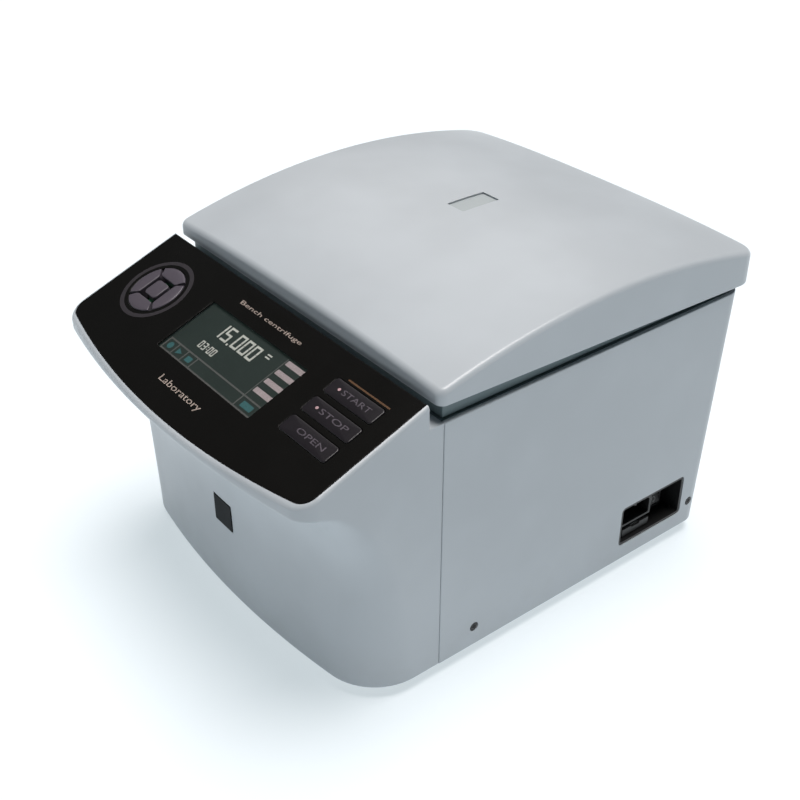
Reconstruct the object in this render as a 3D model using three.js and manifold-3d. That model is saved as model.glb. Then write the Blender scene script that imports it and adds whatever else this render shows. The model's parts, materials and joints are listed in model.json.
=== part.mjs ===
// Bench-top laboratory microcentrifuge: a rounded two-part casing with a sloping control console,
// an arched hinged lid, and inside it the rotor chamber, rotor, motor, latch, fan and mains inlet.
// Millimetres, +Z up, the console faces -Y. The origin is under the middle of the machine, on the bench.
import * as THREE from "three";
import { mergeVertices } from "three/addons/utils/BufferGeometryUtils.js";
import Module from "manifold-3d";

const wasm = await Module();
wasm.setup();

// ---- Driving dimensions -------------------------------------------------------------------------

const GAP = 0.3; // left between pieces that touch
const WALL = 3; // thickness of the moulded casing

// Casing
const FOOT_HEIGHT = 8;
const BODY_HALF = 125; // half the width over the side walls
const BODY_BOTTOM = FOOT_HEIGHT;
const BODY_TOP = 173.7; // top edge of the side walls
const SEAM_Y = -69.4; // joint between the front cover and the body cover
const REAR_Y = 161.7; // rear wall at its top edge
const REAR_LEAN = 0.059; // the rear wall leans in by this much for each mm down
const REAR_CORNER_R = 12;

// Front cover: an upright bowed wall that flares forward into the console
const WALL_SIDE_Y = -117.5; // front wall, taken out to the side walls
const FRONT_BOW = 13.1; // how far the middle stands ahead of the ends
const WALL_CORNER_R = 36;
const LIP_SIDE_Y = -155.3; // console lip, taken out to the side walls
const LIP_CORNER_R = 13;
const FLARE_LOW = 72; // the wall starts to curve forward here
const FLARE_HIGH = 149; // the flare meets the lip here
const FLARE_TURN = 0.47 * Math.PI; // the flare is this much of an arc, stretched to its run and rise
const BADGE = { half: 9.25, z0: 60.5, z1: 79.5, seat: 0.9, proud: 0.4, back: 0.6 };
const CONSOLE_BACK_Y = -78.6;
const CONSOLE_BACK_Z = 187.9;
const CONSOLE_SLOPE = THREE.MathUtils.degToRad(20.8);
const CONSOLE_SKIN = 4.5; // thickness of the console face with its recess
const CONSOLE_RIM = 1; // the back wall's outside stands this far behind the face's back edge

// Console face, in its own frame: x across, y up the slope from the back edge, z out of the face
const OVERLAY_HALF = 122.7;
const OVERLAY_BACK = -1;
const OVERLAY_SIDE = -79.3;
const OVERLAY_BOW = 14;
const OVERLAY_CORNER_R = 9;
const OVERLAY_T = 1.2;
const RECESS = 1.5; // depth of the seat that the overlay lies in
const DISPLAY = { x0: -45, x1: 50, y0: -63.3, y1: -22.5 };
const PAD_X = -87.5; // centre of the four-way key pad
const PAD_Y = -37.5;
const PAD_R = 18;
const PAD_CENTRE = 12; // width of the middle key
const KEY_X0 = 69;
const KEY_X1 = 109;
const KEY_HEIGHT = 11;
const KEY_ROWS = { start: -21.5, stop: -36.5, open: -51.5 };
const KEY_PROUD = 0.8; // keys stand this far out of the overlay
const KEY_TRAVEL = 0.8;
const KEY_DEPTH = 7; // from the overlay's face to the underside of a key
const BOARD_Z = -9; // component side of the control board

// Lid
const LID_HALF = 127;
const LID_FRONT_Y = -74.3;
const LID_REAR_Y = 168.4;
const LID_SKIN = 2.5;
const LID_FRONT_TOP = 193.2; // upper edge at the front corners
const LID_REAR_TOP = 196.4; // upper edge at the rear corners
const LID_ARCH = 16; // rise of the side profile over its chord
const LID_CROWN = 4; // rise of the middle over the sides
const CROWN_POWER = 2.7;
const LID_FRONT_LOW = 185; // lower edge at the front
const LID_REAR_LOW = 177.5; // lower edge at the rear
const LID_REAR_R = 13;
const LID_FRONT_R = 5;
const WINDOW_WIDTH = 14;
const WINDOW_LENGTH = 28;
const HINGE_Y = 161;
const HINGE_Z = 184;
const HINGE_X = 85.5; // middle of a hinge bracket's ear
const KNUCKLE_R = 4.2;
const PIN_R = 2;

// Chamber, rotor and drive, all on one upright axis
const AXIS_Y = 54;
const BOWL_R = 92;
const BOWL_FLOOR = 90;
const DECK_Z = 170.4;
const DECK_T = 3;
const ROTOR_R = 84;
const ROTOR_LOW = 100;
const ROTOR_HIGH = 148;
const CONE_R = 31; // foot of the rotor's inner cone, which the tube places stand square on
const CONE_LOW = 116;
const HUB_TOP = 146;
const THREAD_R = 4.5;
const TUBE_PLACES = 24;
const TUBE_R = 5.6;
const TUBE_ANGLE = THREE.MathUtils.degToRad(45);
const TUBE_MOUTH_R = 51.8; // radius of the ring that the tube mouths lie on
const TUBE_STRAIGHT = 32; // straight part of a tube place, from its mouth down
const TUBE_TIP = 6; // conical part below it
const SHAFT_R = 7;
const MOTOR_R = 40;
const MOUNT_Z = 38.3; // underside of the motor mount plate
const MOUNT_R = 76;
const DAMPER_CIRCLE = 60;
const DAMPER_ANGLES = [90, 210, 330];

// Mains entry in the right-hand wall
const POCKET = { y0: 75.6, y1: 132.6, z0: 19.5, z1: 49 };
const POCKET_FLOOR_X = 108;

// Fan behind the rear wall
const FAN_X = -60;
const FAN_Z = 50;
const FAN_SIZE = 60;
const FAN_R = 28;

const FRONT_FOOT = { x: 90, y: -88 };
const REAR_FOOT = { x: 96, y: 126 };
const FRONT_SCREW = { y: -43.7, z: 22 };
const REAR_SCREW = { y: 140.6, z: 25 };

// ---- Solids -------------------------------------------------------------------------------------

/** A closed three.js geometry as a solid that can be joined and cut. */
function solid(geometry) {
  const bare = geometry.index ? geometry.toNonIndexed() : geometry.clone();
  bare.deleteAttribute("normal");
  bare.deleteAttribute("uv");
  const merged = mergeVertices(bare, 1e-4);
  return new wasm.Manifold(new wasm.Mesh({
    numProp: 3,
    vertProperties: merged.attributes.position.array,
    triVerts: new Uint32Array(merged.index.array),
  }));
}

/** A solid as a three.js geometry again. */
function geometryOf(body) {
  const mesh = body.getMesh();
  const geometry = new THREE.BufferGeometry();
  geometry.setAttribute("position", new THREE.BufferAttribute(new Float32Array(mesh.vertProperties), 3));
  geometry.setIndex(new THREE.BufferAttribute(new Uint32Array(mesh.triVerts), 1));
  const faceted = geometry.toNonIndexed();
  faceted.computeVertexNormals();
  return faceted;
}

const joined = (first, ...rest) => rest.reduce((sum, piece) => sum.add(piece), first);
const cut = (first, ...rest) => rest.reduce((left, piece) => left.subtract(piece), first);
const moved = (body, matrix) => solid(geometryOf(body).applyMatrix4(matrix));
const shift = (x, y, z) => new THREE.Matrix4().makeTranslation(x, y, z);

function block(x0, x1, y0, y1, z0, z1) {
  const geometry = new THREE.BoxGeometry(x1 - x0, y1 - y0, z1 - z0);
  geometry.translate((x0 + x1) / 2, (y0 + y1) / 2, (z0 + z1) / 2);
  return solid(geometry);
}

const ALONG = {
  x: new THREE.Matrix4().makeBasis(
    new THREE.Vector3(0, 1, 0), new THREE.Vector3(0, 0, 1), new THREE.Vector3(1, 0, 0)),
  y: new THREE.Matrix4().makeBasis(
    new THREE.Vector3(0, 0, 1), new THREE.Vector3(1, 0, 0), new THREE.Vector3(0, 1, 0)),
  z: new THREE.Matrix4(),
};

/** An outline pulled along an axis. Along x the outline is in (y, z), along y in (z, x). */
function pulled(shape, axis, from, to, curveSegments = 2) {
  const geometry = new THREE.ExtrudeGeometry(shape, { depth: to - from, bevelEnabled: false, curveSegments });
  geometry.translate(0, 0, from).applyMatrix4(ALONG[axis]);
  return solid(geometry);
}

const outline = (points) => new THREE.Shape(points.map(([a, b]) => new THREE.Vector2(a, b)));

function roundedRectangle(x0, x1, y0, y1, radius, nearRadius = radius) {
  const quarter = Math.PI / 2;
  const shape = new THREE.Shape();
  shape.absarc(x1 - radius, y1 - radius, radius, 0, quarter);
  shape.absarc(x0 + radius, y1 - radius, radius, quarter, 2 * quarter);
  shape.absarc(x0 + nearRadius, y0 + nearRadius, nearRadius, 2 * quarter, 3 * quarter);
  shape.absarc(x1 - nearRadius, y0 + nearRadius, nearRadius, 3 * quarter, 4 * quarter);
  return shape;
}

function disc(radius, axis, from, to, a, b, sides = 16) {
  const shape = new THREE.Shape().absarc(a, b, radius, 0, 2 * Math.PI);
  return pulled(shape, axis, from, to, sides / 2);
}

/** A closed profile of [radius, height] points, anticlockwise, turned about an upright axis. */
function turned(profile, x = 0, y = 0, sides = 24) {
  const points = [...profile, profile[0]].map(([r, z]) => new THREE.Vector2(r, z));
  const geometry = new THREE.LatheGeometry(points, sides);
  geometry.rotateX(Math.PI / 2).translate(x, y, 0);
  return solid(geometry);
}

/** A solid skinned over rings of points that are stacked upwards and run anticlockwise from above. */
function lofted(rings) {
  const count = rings[0].length;
  const positions = rings.flatMap((ring) => ring.flatMap((p) => [p.x, p.y, p.z]));
  const faces = [];
  for (let level = 0; level + 1 < rings.length; level += 1) {
    for (let i = 0; i < count; i += 1) {
      const a = level * count + i;
      const b = level * count + ((i + 1) % count);
      faces.push(a, b, b + count, a, b + count, a + count);
    }
  }
  const cap = THREE.ShapeUtils.triangulateShape(rings[0].map((p) => new THREE.Vector2(p.x, p.y)), []);
  const top = (rings.length - 1) * count;
  for (const [a, b, c] of cap) faces.push(c, b, a, top + a, top + b, top + c);
  const geometry = new THREE.BufferGeometry();
  geometry.setAttribute("position", new THREE.Float32BufferAttribute(positions, 3));
  geometry.setIndex(faces);
  return solid(geometry);
}

// ---- The assembly -------------------------------------------------------------------------------

const centrifuge = new THREE.Group();
const panel = new THREE.Group(); // the console's own frame
panel.position.set(0, CONSOLE_BACK_Y, CONSOLE_BACK_Z);
panel.rotation.x = CONSOLE_SLOPE;
panel.updateMatrixWorld(true);
centrifuge.add(panel);

function finish(color, roughness, metalness = 0) {
  return new THREE.MeshStandardMaterial({ color, roughness, metalness });
}

const CASING = finish(0xd3d8da, 0.38);
const INNER_PLASTIC = finish(0x8f989b, 0.5);
const GLOSS_BLACK = finish(0x15140f, 0.12);
const KEY_GREY = finish(0x4d4850, 0.4);
const BLACK_PLASTIC = finish(0x161617, 0.5);
const DISPLAY_GLASS = finish(0x29322e, 0.1);
const CLEAR = finish(0xc4ccce, 0.08);
const STEEL = finish(0xb4b8ba, 0.3, 1);
const ZINC = finish(0x9da1a4, 0.45, 0.9);
const ALUMINIUM = finish(0x7d8185, 0.35, 0.9);
const RUBBER = finish(0x1b1b1c, 0.85);
const BOARD = finish(0x1f5b3a, 0.5);

function piece(name, body, material, parent = centrifuge) {
  const mesh = new THREE.Mesh(geometryOf(body), material);
  mesh.name = name;
  parent.add(mesh);
}

// ---- Casing -------------------------------------------------------------------------------------

/** Half outline with a bowed front and rounded front corners, anticlockwise from the rear left. */
function bowedOutline(half, backY, sideY, bow, radius, frontSteps = 12, cornerSteps = 5) {
  const front = (x) => sideY - bow * (1 - (x / half) ** 2);
  let cornerX = half - radius;
  let tilt = 0;
  for (let i = 0; i < 4; i += 1) {
    tilt = Math.atan(2 * bow * cornerX / half ** 2);
    cornerX = half - radius + radius * Math.sin(tilt);
  }
  const centreY = front(cornerX) + radius * Math.cos(tilt);
  const right = [[half, backY]];
  for (let i = 0; i <= cornerSteps; i += 1) {
    const angle = -(Math.PI / 2 - tilt) * i / cornerSteps;
    right.push([half - radius + radius * Math.cos(angle), centreY + radius * Math.sin(angle)]);
  }
  const bowed = [];
  for (let i = 1; i < frontSteps; i += 1) {
    const x = cornerX * (1 - 2 * i / frontSteps);
    bowed.push([x, front(x)]);
  }
  const left = right.map(([x, y]) => [-x, y]).reverse();
  return [...right, ...bowed, ...left].reverse();
}

/** The front cover's plan at a height, where the flare has gone a share of its way forward. */
function coverRing(z, share, inset, backY) {
  const sideY = THREE.MathUtils.lerp(WALL_SIDE_Y, LIP_SIDE_Y, share) + inset;
  const height = THREE.MathUtils.clamp((z - BODY_BOTTOM) / (FLARE_HIGH - BODY_BOTTOM), 0, 1);
  const radius = THREE.MathUtils.lerp(WALL_CORNER_R, LIP_CORNER_R, height ** 1.3) - inset;
  return bowedOutline(BODY_HALF - inset, backY, sideY, FRONT_BOW, radius)
    .map(([x, y]) => new THREE.Vector3(x, y, z));
}

/** The flared block that the front cover is hollowed from: inset 0 outside, the wall's inset inside. */
function flaredBlock(inset, backY) {
  const steps = 8;
  const low = BODY_BOTTOM - inset;
  const middle = (low + FLARE_LOW) / 2;
  const rings = [coverRing(low, 0, inset, backY), coverRing(middle, 0, inset, backY)];
  for (let i = 0; i <= steps; i += 1) {
    const turn = (i / steps) * FLARE_TURN;
    const share = (1 - Math.cos(turn)) / (1 - Math.cos(FLARE_TURN));
    const rise = Math.sin(turn) / Math.sin(FLARE_TURN);
    const z = THREE.MathUtils.lerp(FLARE_LOW + inset, FLARE_HIGH + inset, rise);
    rings.push(coverRing(z, share, inset, backY));
  }
  rings.push(coverRing(CONSOLE_BACK_Z + 10, 1, inset, backY));
  return lofted(rings);
}

const onConsole = (body) => moved(body, panel.matrixWorld);
const consoleZ = (y, below = 0) =>
  CONSOLE_BACK_Z + (y - CONSOLE_BACK_Y) * Math.tan(CONSOLE_SLOPE) - below / Math.cos(CONSOLE_SLOPE);

const displayHole = (margin, low, high) => block(
  DISPLAY.x0 - margin, DISPLAY.x1 + margin, DISPLAY.y0 - margin, DISPLAY.y1 + margin, low, high);
const padHole = (margin, low, high) => disc(PAD_R + margin, "z", low, high, PAD_X, PAD_Y, 32);
const rowHole = (row, margin, low, high) => pulled(
  roundedRectangle(KEY_X0 - margin, KEY_X1 + margin, row - KEY_HEIGHT / 2 - margin,
    row + KEY_HEIGHT / 2 + margin, 2), "z", low, high, 1);

function overlayShape(grow) {
  return outline(bowedOutline(OVERLAY_HALF + grow, OVERLAY_BACK + grow, OVERLAY_SIDE - grow,
    OVERLAY_BOW, OVERLAY_CORNER_R + grow));
}

function frontCover() {
  const far = LIP_SIDE_Y - 60;
  const rearFace = SEAM_Y - GAP;
  const backWall = CONSOLE_BACK_Y + CONSOLE_RIM;
  const backInside = backWall - WALL;
  const outside = outline([
    [far, BODY_BOTTOM], [rearFace, BODY_BOTTOM], [rearFace, BODY_TOP], [backWall, BODY_TOP],
    [backWall, CONSOLE_BACK_Z], [CONSOLE_BACK_Y, CONSOLE_BACK_Z], [far, consoleZ(far)]]);
  const inside = outline([
    [far, BODY_BOTTOM - 5], [rearFace + 5, BODY_BOTTOM - 5], [rearFace + 5, BODY_TOP - WALL],
    [backInside, BODY_TOP - WALL], [backInside, consoleZ(backInside, CONSOLE_SKIN)],
    [far, consoleZ(far, CONSOLE_SKIN)]]);
  const reach = BODY_HALF + 5;
  const skin = cut(
    flaredBlock(0, SEAM_Y + 10).intersect(pulled(outside, "x", -reach, reach)),
    flaredBlock(WALL, SEAM_Y + 20).intersect(pulled(inside, "x", -reach, reach)));
  const through = -CONSOLE_SKIN - 2;
  const openings = joined(
    pulled(overlayShape(GAP), "z", -RECESS, 5),
    displayHole(1, through, 1),
    padHole(0.6, through, 1),
    ...Object.values(KEY_ROWS).map((row) => rowHole(row, 0.5, through, 1)));
  const badgeSeat = block(-BADGE.half - GAP, BADGE.half + GAP, WALL_SIDE_Y - FRONT_BOW - 5,
    WALL_SIDE_Y - FRONT_BOW + BADGE.seat, BADGE.z0 - GAP, BADGE.z1 + GAP);
  return cut(skin, onConsole(openings), badgeSeat);
}

/** Leans the rear of a casing part in towards the bottom, and leaves its front where it is. */
function leaned(body) {
  const geometry = geometryOf(body);
  const position = geometry.attributes.position;
  for (let i = 0; i < position.count; i += 1) {
    const share = (position.getY(i) - SEAM_Y) / (REAR_Y - SEAM_Y);
    const drop = BODY_TOP - position.getZ(i);
    position.setY(i, position.getY(i) - Math.max(share, 0) * drop * REAR_LEAN);
  }
  return solid(geometry);
}

function bodyCover() {
  const wrap = (inset, low, high) => pulled(
    roundedRectangle(-BODY_HALF + inset, BODY_HALF - inset, SEAM_Y - (inset ? 20 : 40), REAR_Y - inset,
      REAR_CORNER_R - inset, 1), "z", low, high, 3);
  const ahead = block(-200, 200, SEAM_Y - 60, SEAM_Y, 0, 200);
  const walls = cut(leaned(wrap(0, BODY_BOTTOM, BODY_TOP)), leaned(wrap(WALL, 0, 200)), ahead);
  const ledge = cut(leaned(wrap(1, DECK_Z - GAP - 3, DECK_Z - GAP)), leaned(wrap(8, 0, 200)), ahead,
    block(-200, 200, SEAM_Y - 1, SEAM_Y + 2, 0, 200));
  const pocket = pulled(roundedRectangle(POCKET.y0, POCKET.y1, POCKET.z0, POCKET.z1, 3), "x",
    BODY_HALF - 10, BODY_HALF + 5);
  const vents = [];
  for (let z = FAN_Z - 24; z <= FAN_Z + 24; z += 8) {
    vents.push(block(FAN_X - 25, FAN_X + 25, REAR_Y - 25, REAR_Y + 5, z - 1.7, z + 1.7));
  }
  const screwHoles = [FRONT_SCREW, REAR_SCREW].flatMap(({ y, z }) => [
    disc(1.9, "x", -BODY_HALF - 2, BODY_HALF + 2, y, z, 10),
    disc(3.1, "x", BODY_HALF - 1.2, BODY_HALF + 2, y, z, 14),
    disc(3.1, "x", -BODY_HALF - 2, -BODY_HALF + 1.2, y, z, 14)]);
  return cut(joined(walls, ledge), pocket, ...vents, ...screwHoles);
}

function basePan() {
  const inset = WALL + 0.6;
  const rear = REAR_Y - REAR_LEAN * (BODY_TOP - BODY_BOTTOM) - inset;
  const plan = (extra) => outline(bowedOutline(BODY_HALF - inset - extra, rear - extra,
    WALL_SIDE_Y + inset + extra, FRONT_BOW, WALL_CORNER_R - inset - extra));
  const within = (extra, low, high) => pulled(plan(extra), "z", low, high).intersect(pulled(
    roundedRectangle(-BODY_HALF, BODY_HALF, LIP_SIDE_Y, rear - extra, REAR_CORNER_R + 4, 1), "z", low, high));
  const tray = cut(within(0, BODY_BOTTOM, 34), within(2.5, BODY_BOTTOM + 2.5, 50));
  const pocketRoom = block(100, 130, POCKET.y0 - 4, POCKET.y1 + 4, POCKET.z0 - 3, 60);
  const fanRoom = block(FAN_X - 34, FAN_X + 34, rear - 8, rear + 5, 18, 60);
  const intake = [-32, -16, 0, 16, 32].map((x) => block(x - 3, x + 3, -60, -20, 0, 20));
  const screwHoles = [FRONT_SCREW, REAR_SCREW].map(({ y, z }) => disc(1.9, "x", -130, 130, y, z, 10));
  const footHoles = FEET.map(({ x, y }) => disc(3.9, "z", 0, 20, x, y, 12));
  return cut(tray, pocketRoom, fanRoom, ...intake, ...screwHoles, ...footHoles);
}

const FEET = [
  { name: "foot_front_left", x: -FRONT_FOOT.x, y: FRONT_FOOT.y },
  { name: "foot_front_right", x: FRONT_FOOT.x, y: FRONT_FOOT.y },
  { name: "foot_rear_left", x: -REAR_FOOT.x, y: REAR_FOOT.y },
  { name: "foot_rear_right", x: REAR_FOOT.x, y: REAR_FOOT.y }];

function topDeck() {
  const plate = pulled(roundedRectangle(-BODY_HALF + WALL + GAP, BODY_HALF - WALL - GAP, SEAM_Y + GAP,
    REAR_Y - WALL - 0.6, REAR_CORNER_R - WALL, 1), "z", DECK_Z, DECK_Z + DECK_T);
  return cut(plate, disc(BOWL_R + 3, "z", 160, 180, 0, AXIS_Y, 36), latchSlot());
}

piece("base_pan", basePan(), ZINC);
piece("front_cover", frontCover(), CASING);
piece("body_cover", bodyCover(), CASING);

for (const { name, x, y } of FEET) {
  const shoulder = FOOT_HEIGHT - GAP;
  const profile = [[0, 0], [9.5, 0], [11, 2], [11, shoulder], [3.5, shoulder], [3.5, 13], [0, 13]];
  piece(name, turned(profile, x, y, 16), RUBBER);
}

for (const [side, sign] of [["left", -1], ["right", 1]]) {
  for (const [place, { y, z }] of [["front", FRONT_SCREW], ["rear", REAR_SCREW]]) {
    const span = (from, to) => [sign * from, sign * to].sort((a, b) => a - b);
    const head = disc(2.8, "x", ...span(BODY_HALF - 0.9, BODY_HALF - 0.1), y, z, 14);
    const shank = disc(1.5, "x", ...span(BODY_HALF - 12, BODY_HALF - 0.5), y, z, 10);
    const driveSlot = block(...span(BODY_HALF - 0.5, BODY_HALF + 1), y - 0.4, y + 0.4, z - 2, z + 2);
    piece(`side_screw_${place}_${side}`, cut(joined(head, shank), driveSlot), BLACK_PLASTIC);
  }
}

const frontCentre = WALL_SIDE_Y - FRONT_BOW;
piece("front_badge", pulled(roundedRectangle(BADGE.z0, BADGE.z1, -BADGE.half, BADGE.half, 1), "y",
  frontCentre - BADGE.proud, frontCentre + BADGE.back, 1), GLOSS_BLACK);

// ---- Console ------------------------------------------------------------------------------------

piece("control_overlay", cut(
  pulled(overlayShape(0), "z", -OVERLAY_T, 0),
  displayHole(0, -5, 5), padHole(0.4, -5, 5),
  ...Object.values(KEY_ROWS).map((row) => rowHole(row, 0.3, -5, 5))), GLOSS_BLACK, panel);
piece("display_window", displayHole(-GAP, -1.7, -0.5), DISPLAY_GLASS, panel);
piece("display_module", displayHole(0.6, -8.6, -2), BLACK_PLASTIC, panel);

/** One quarter of the key ring: between the diagonals, outside the middle key. */
function padQuarter(turns) {
  const slack = 0.6;
  const ring = cut(
    disc(PAD_R, "z", -KEY_DEPTH, KEY_PROUD, 0, 0, 32),
    pulled(roundedRectangle(-PAD_CENTRE / 2 - slack, PAD_CENTRE / 2 + slack, -PAD_CENTRE / 2 - slack,
      PAD_CENTRE / 2 + slack, 2.5), "z", -20, 20, 1));
  const reach = 2 * PAD_R;
  const tip = slack * Math.SQRT2;
  const wedge = pulled(outline([[0, tip], [reach, reach + tip], [-reach, reach + tip]]), "z", -20, 20);
  const quarter = ring.intersect(wedge);
  const place = new THREE.Matrix4().makeRotationZ(turns * Math.PI / 2).premultiply(shift(PAD_X, PAD_Y, 0));
  return moved(quarter, place);
}

["key_up", "key_left", "key_down", "key_right"].forEach((name, turns) => {
  piece(name, padQuarter(turns), KEY_GREY, panel);
});
piece("key_enter", pulled(roundedRectangle(PAD_X - PAD_CENTRE / 2, PAD_X + PAD_CENTRE / 2,
  PAD_Y - PAD_CENTRE / 2, PAD_Y + PAD_CENTRE / 2, 2.2), "z", -KEY_DEPTH, KEY_PROUD, 1), KEY_GREY, panel);

for (const [name, row] of Object.entries(KEY_ROWS)) {
  const flange = rowHole(row, 1.2, -KEY_DEPTH, -KEY_DEPTH + 1.2);
  piece(`key_${name}`, joined(rowHole(row, 0, -KEY_DEPTH + 1, KEY_PROUD), flange), KEY_GREY, panel);
}

function controlBoard() {
  const board = block(-112, 114, -70, -8, BOARD_Z - 1.6, BOARD_Z);
  const reach = PAD_CENTRE / 2 + 6;
  const places = [[PAD_X, PAD_Y], [PAD_X, PAD_Y + reach], [PAD_X, PAD_Y - reach], [PAD_X - reach, PAD_Y],
    [PAD_X + reach, PAD_Y], ...Object.values(KEY_ROWS).map((row) => [(KEY_X0 + KEY_X1) / 2, row])];
  const switchTop = -KEY_DEPTH - KEY_TRAVEL - 0.1;
  const switches = places.map(([x, y]) => block(x - 2, x + 2, y - 2, y + 2, BOARD_Z - 0.5, switchTop));
  return joined(board, ...switches);
}
piece("control_board", controlBoard(), BOARD, panel);

// ---- Deck, chamber and latch --------------------------------------------------------------------

const LATCH_Y = -60; // the striker comes down here
const LATCH_Z = 157; // height of the bolt
const STRIKER_LOW = 151;

function latchSlot() {
  return block(-6, 6, LATCH_Y - 8, LATCH_Y + 6.5, 160, 180);
}

piece("top_deck", topDeck(), INNER_PLASTIC);

piece("chamber_bowl", turned([
  [19, BOWL_FLOOR], [BOWL_R - 12, BOWL_FLOOR], [BOWL_R - 3, BOWL_FLOOR + 4], [BOWL_R + 2, BOWL_FLOOR + 14],
  [BOWL_R + 2, 173.7], [BOWL_R + 7.5, 173.7], [BOWL_R + 7.5, 174.7], [BOWL_R, 174.7],
  [BOWL_R, BOWL_FLOOR + 14.5], [BOWL_R - 4.5, BOWL_FLOOR + 5.5], [BOWL_R - 12.5, BOWL_FLOOR + 2],
  [19, BOWL_FLOOR + 2]], 0, AXIS_Y, 32), STEEL);
piece("chamber_gasket", turned([
  [BOWL_R + 1.5, 175], [BOWL_R + 6.5, 175], [BOWL_R + 6.5, 176.6], [BOWL_R + 5, 178.6],
  [BOWL_R + 3, 178.6], [BOWL_R + 1.5, 176.6]], 0, AXIS_Y, 32), RUBBER);
piece("shaft_seal", turned([
  [10, 88], [18.6, 88], [18.6, 93.5], [22, 93.5], [22, 95], [14, 97], [10, 96]], 0, AXIS_Y, 20), RUBBER);

function latchHousing() {
  const shell = block(-22, 26, LATCH_Y - 9.5, LATCH_Y + 11, 144, DECK_Z - GAP);
  const well = block(-9, 9, LATCH_Y - 8.5, LATCH_Y + 7, 148, 180);
  return cut(shell, well, disc(3, "x", -12, 30, LATCH_Y, LATCH_Z, 12));
}
piece("latch_housing", latchHousing(), BLACK_PLASTIC);
piece("latch_bolt", disc(2.4, "x", 3.5, 25, LATCH_Y, LATCH_Z, 12), STEEL);

// ---- Motor and rotor ----------------------------------------------------------------------------

const damperTop = MOUNT_Z - GAP;
DAMPER_ANGLES.forEach((degrees, i) => {
  const angle = THREE.MathUtils.degToRad(degrees);
  const low = BODY_BOTTOM + 2.5 + GAP;
  const middle = (low + damperTop) / 2;
  piece(`motor_damper_${i + 1}`, turned(
    [[0, low], [11, low], [11, low + 4], [8, middle], [11, damperTop - 4], [11, damperTop], [0, damperTop]],
    DAMPER_CIRCLE * Math.cos(angle), AXIS_Y + DAMPER_CIRCLE * Math.sin(angle), 16), RUBBER);
});

piece("motor_mount_plate", cut(disc(MOUNT_R, "z", MOUNT_Z, MOUNT_Z + 4, 0, AXIS_Y, 32),
  disc(MOTOR_R + 0.5, "z", 0, 80, 0, AXIS_Y, 24)), ZINC);

const flange = MOUNT_Z + 4 + GAP;
const ribbed = [];
for (let z = flange + 12; z < 70; z += 10) {
  ribbed.push([MOTOR_R, z], [MOTOR_R - 3, z + 1.5], [MOTOR_R - 3, z + 3], [MOTOR_R, z + 4.5]);
}
piece("motor_housing", turned([
  [0, 14], [MOTOR_R - 4, 14], [MOTOR_R, 18], [MOTOR_R, flange], [MOTOR_R + 9, flange],
  [MOTOR_R + 9, flange + 5], [MOTOR_R, flange + 5], ...ribbed, [MOTOR_R - 4, 78], [17, 78], [17, 86],
  [15.3, 86], [15.3, 79], [SHAFT_R + 1.5, 79], [SHAFT_R + 1.5, 64], [0, 64]], 0, AXIS_Y, 24), ALUMINIUM);
piece("upper_bearing", turned([[SHAFT_R + GAP, 79.3], [15, 79.3], [15, 85.5], [SHAFT_R + GAP, 85.5]],
  0, AXIS_Y, 20), STEEL);

piece("motor_shaft", turned([
  [0, 66], [SHAFT_R, 66], [SHAFT_R, 116], [THREAD_R, 124], [THREAD_R, 158], [0, 158]],
  0, AXIS_Y, 20), STEEL);

function rotorBody() {
  const blank = turned([
    [SHAFT_R + GAP, ROTOR_LOW], [30, ROTOR_LOW], [40, ROTOR_LOW + 3], [ROTOR_R - 6, ROTOR_LOW + 3],
    [ROTOR_R, ROTOR_LOW + 8], [ROTOR_R, ROTOR_LOW + 24], [73, ROTOR_HIGH],
    [CONE_R + ROTOR_HIGH - CONE_LOW, ROTOR_HIGH], [CONE_R, CONE_LOW], [24, CONE_LOW], [17, 122],
    [15, HUB_TOP], [THREAD_R + 1, HUB_TOP], [THREAD_R + 1, 124.4], [SHAFT_R + GAP, 116.4]], 0, 0, TUBE_PLACES);
  const clear = 4; // how far the cutter stands out of the mouth
  const sides = 10;
  const tool = solid(new THREE.LatheGeometry([
    [0, -TUBE_STRAIGHT - TUBE_TIP], [TUBE_R / 3, -TUBE_STRAIGHT - TUBE_TIP], [TUBE_R, -TUBE_STRAIGHT],
    [TUBE_R, clear], [0, clear]].map(([r, z]) => new THREE.Vector2(r, z)), sides).rotateX(Math.PI / 2));
  const mouthZ = CONE_LOW + TUBE_MOUTH_R - CONE_R;
  const bores = [];
  for (let i = 0; i < TUBE_PLACES; i += 1) {
    const place = new THREE.Matrix4().makeRotationZ(2 * Math.PI * i / TUBE_PLACES)
      .multiply(shift(TUBE_MOUTH_R, 0, mouthZ))
      .multiply(new THREE.Matrix4().makeRotationY(-TUBE_ANGLE));
    bores.push(moved(tool, place));
  }
  return moved(cut(blank, ...bores), shift(0, AXIS_Y, 0));
}
piece("rotor", rotorBody(), ALUMINIUM);
piece("rotor_lid", turned([
  [THREAD_R + 1, HUB_TOP + GAP], [16, HUB_TOP + GAP], [22, ROTOR_HIGH + GAP], [76, ROTOR_HIGH + GAP],
  [76, ROTOR_HIGH + 2.4], [70, ROTOR_HIGH + 3.2], [24, ROTOR_HIGH + 3.2], [18, ROTOR_HIGH + 4],
  [THREAD_R + 1, ROTOR_HIGH + 4]], 0, AXIS_Y, 32), ALUMINIUM);

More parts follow.
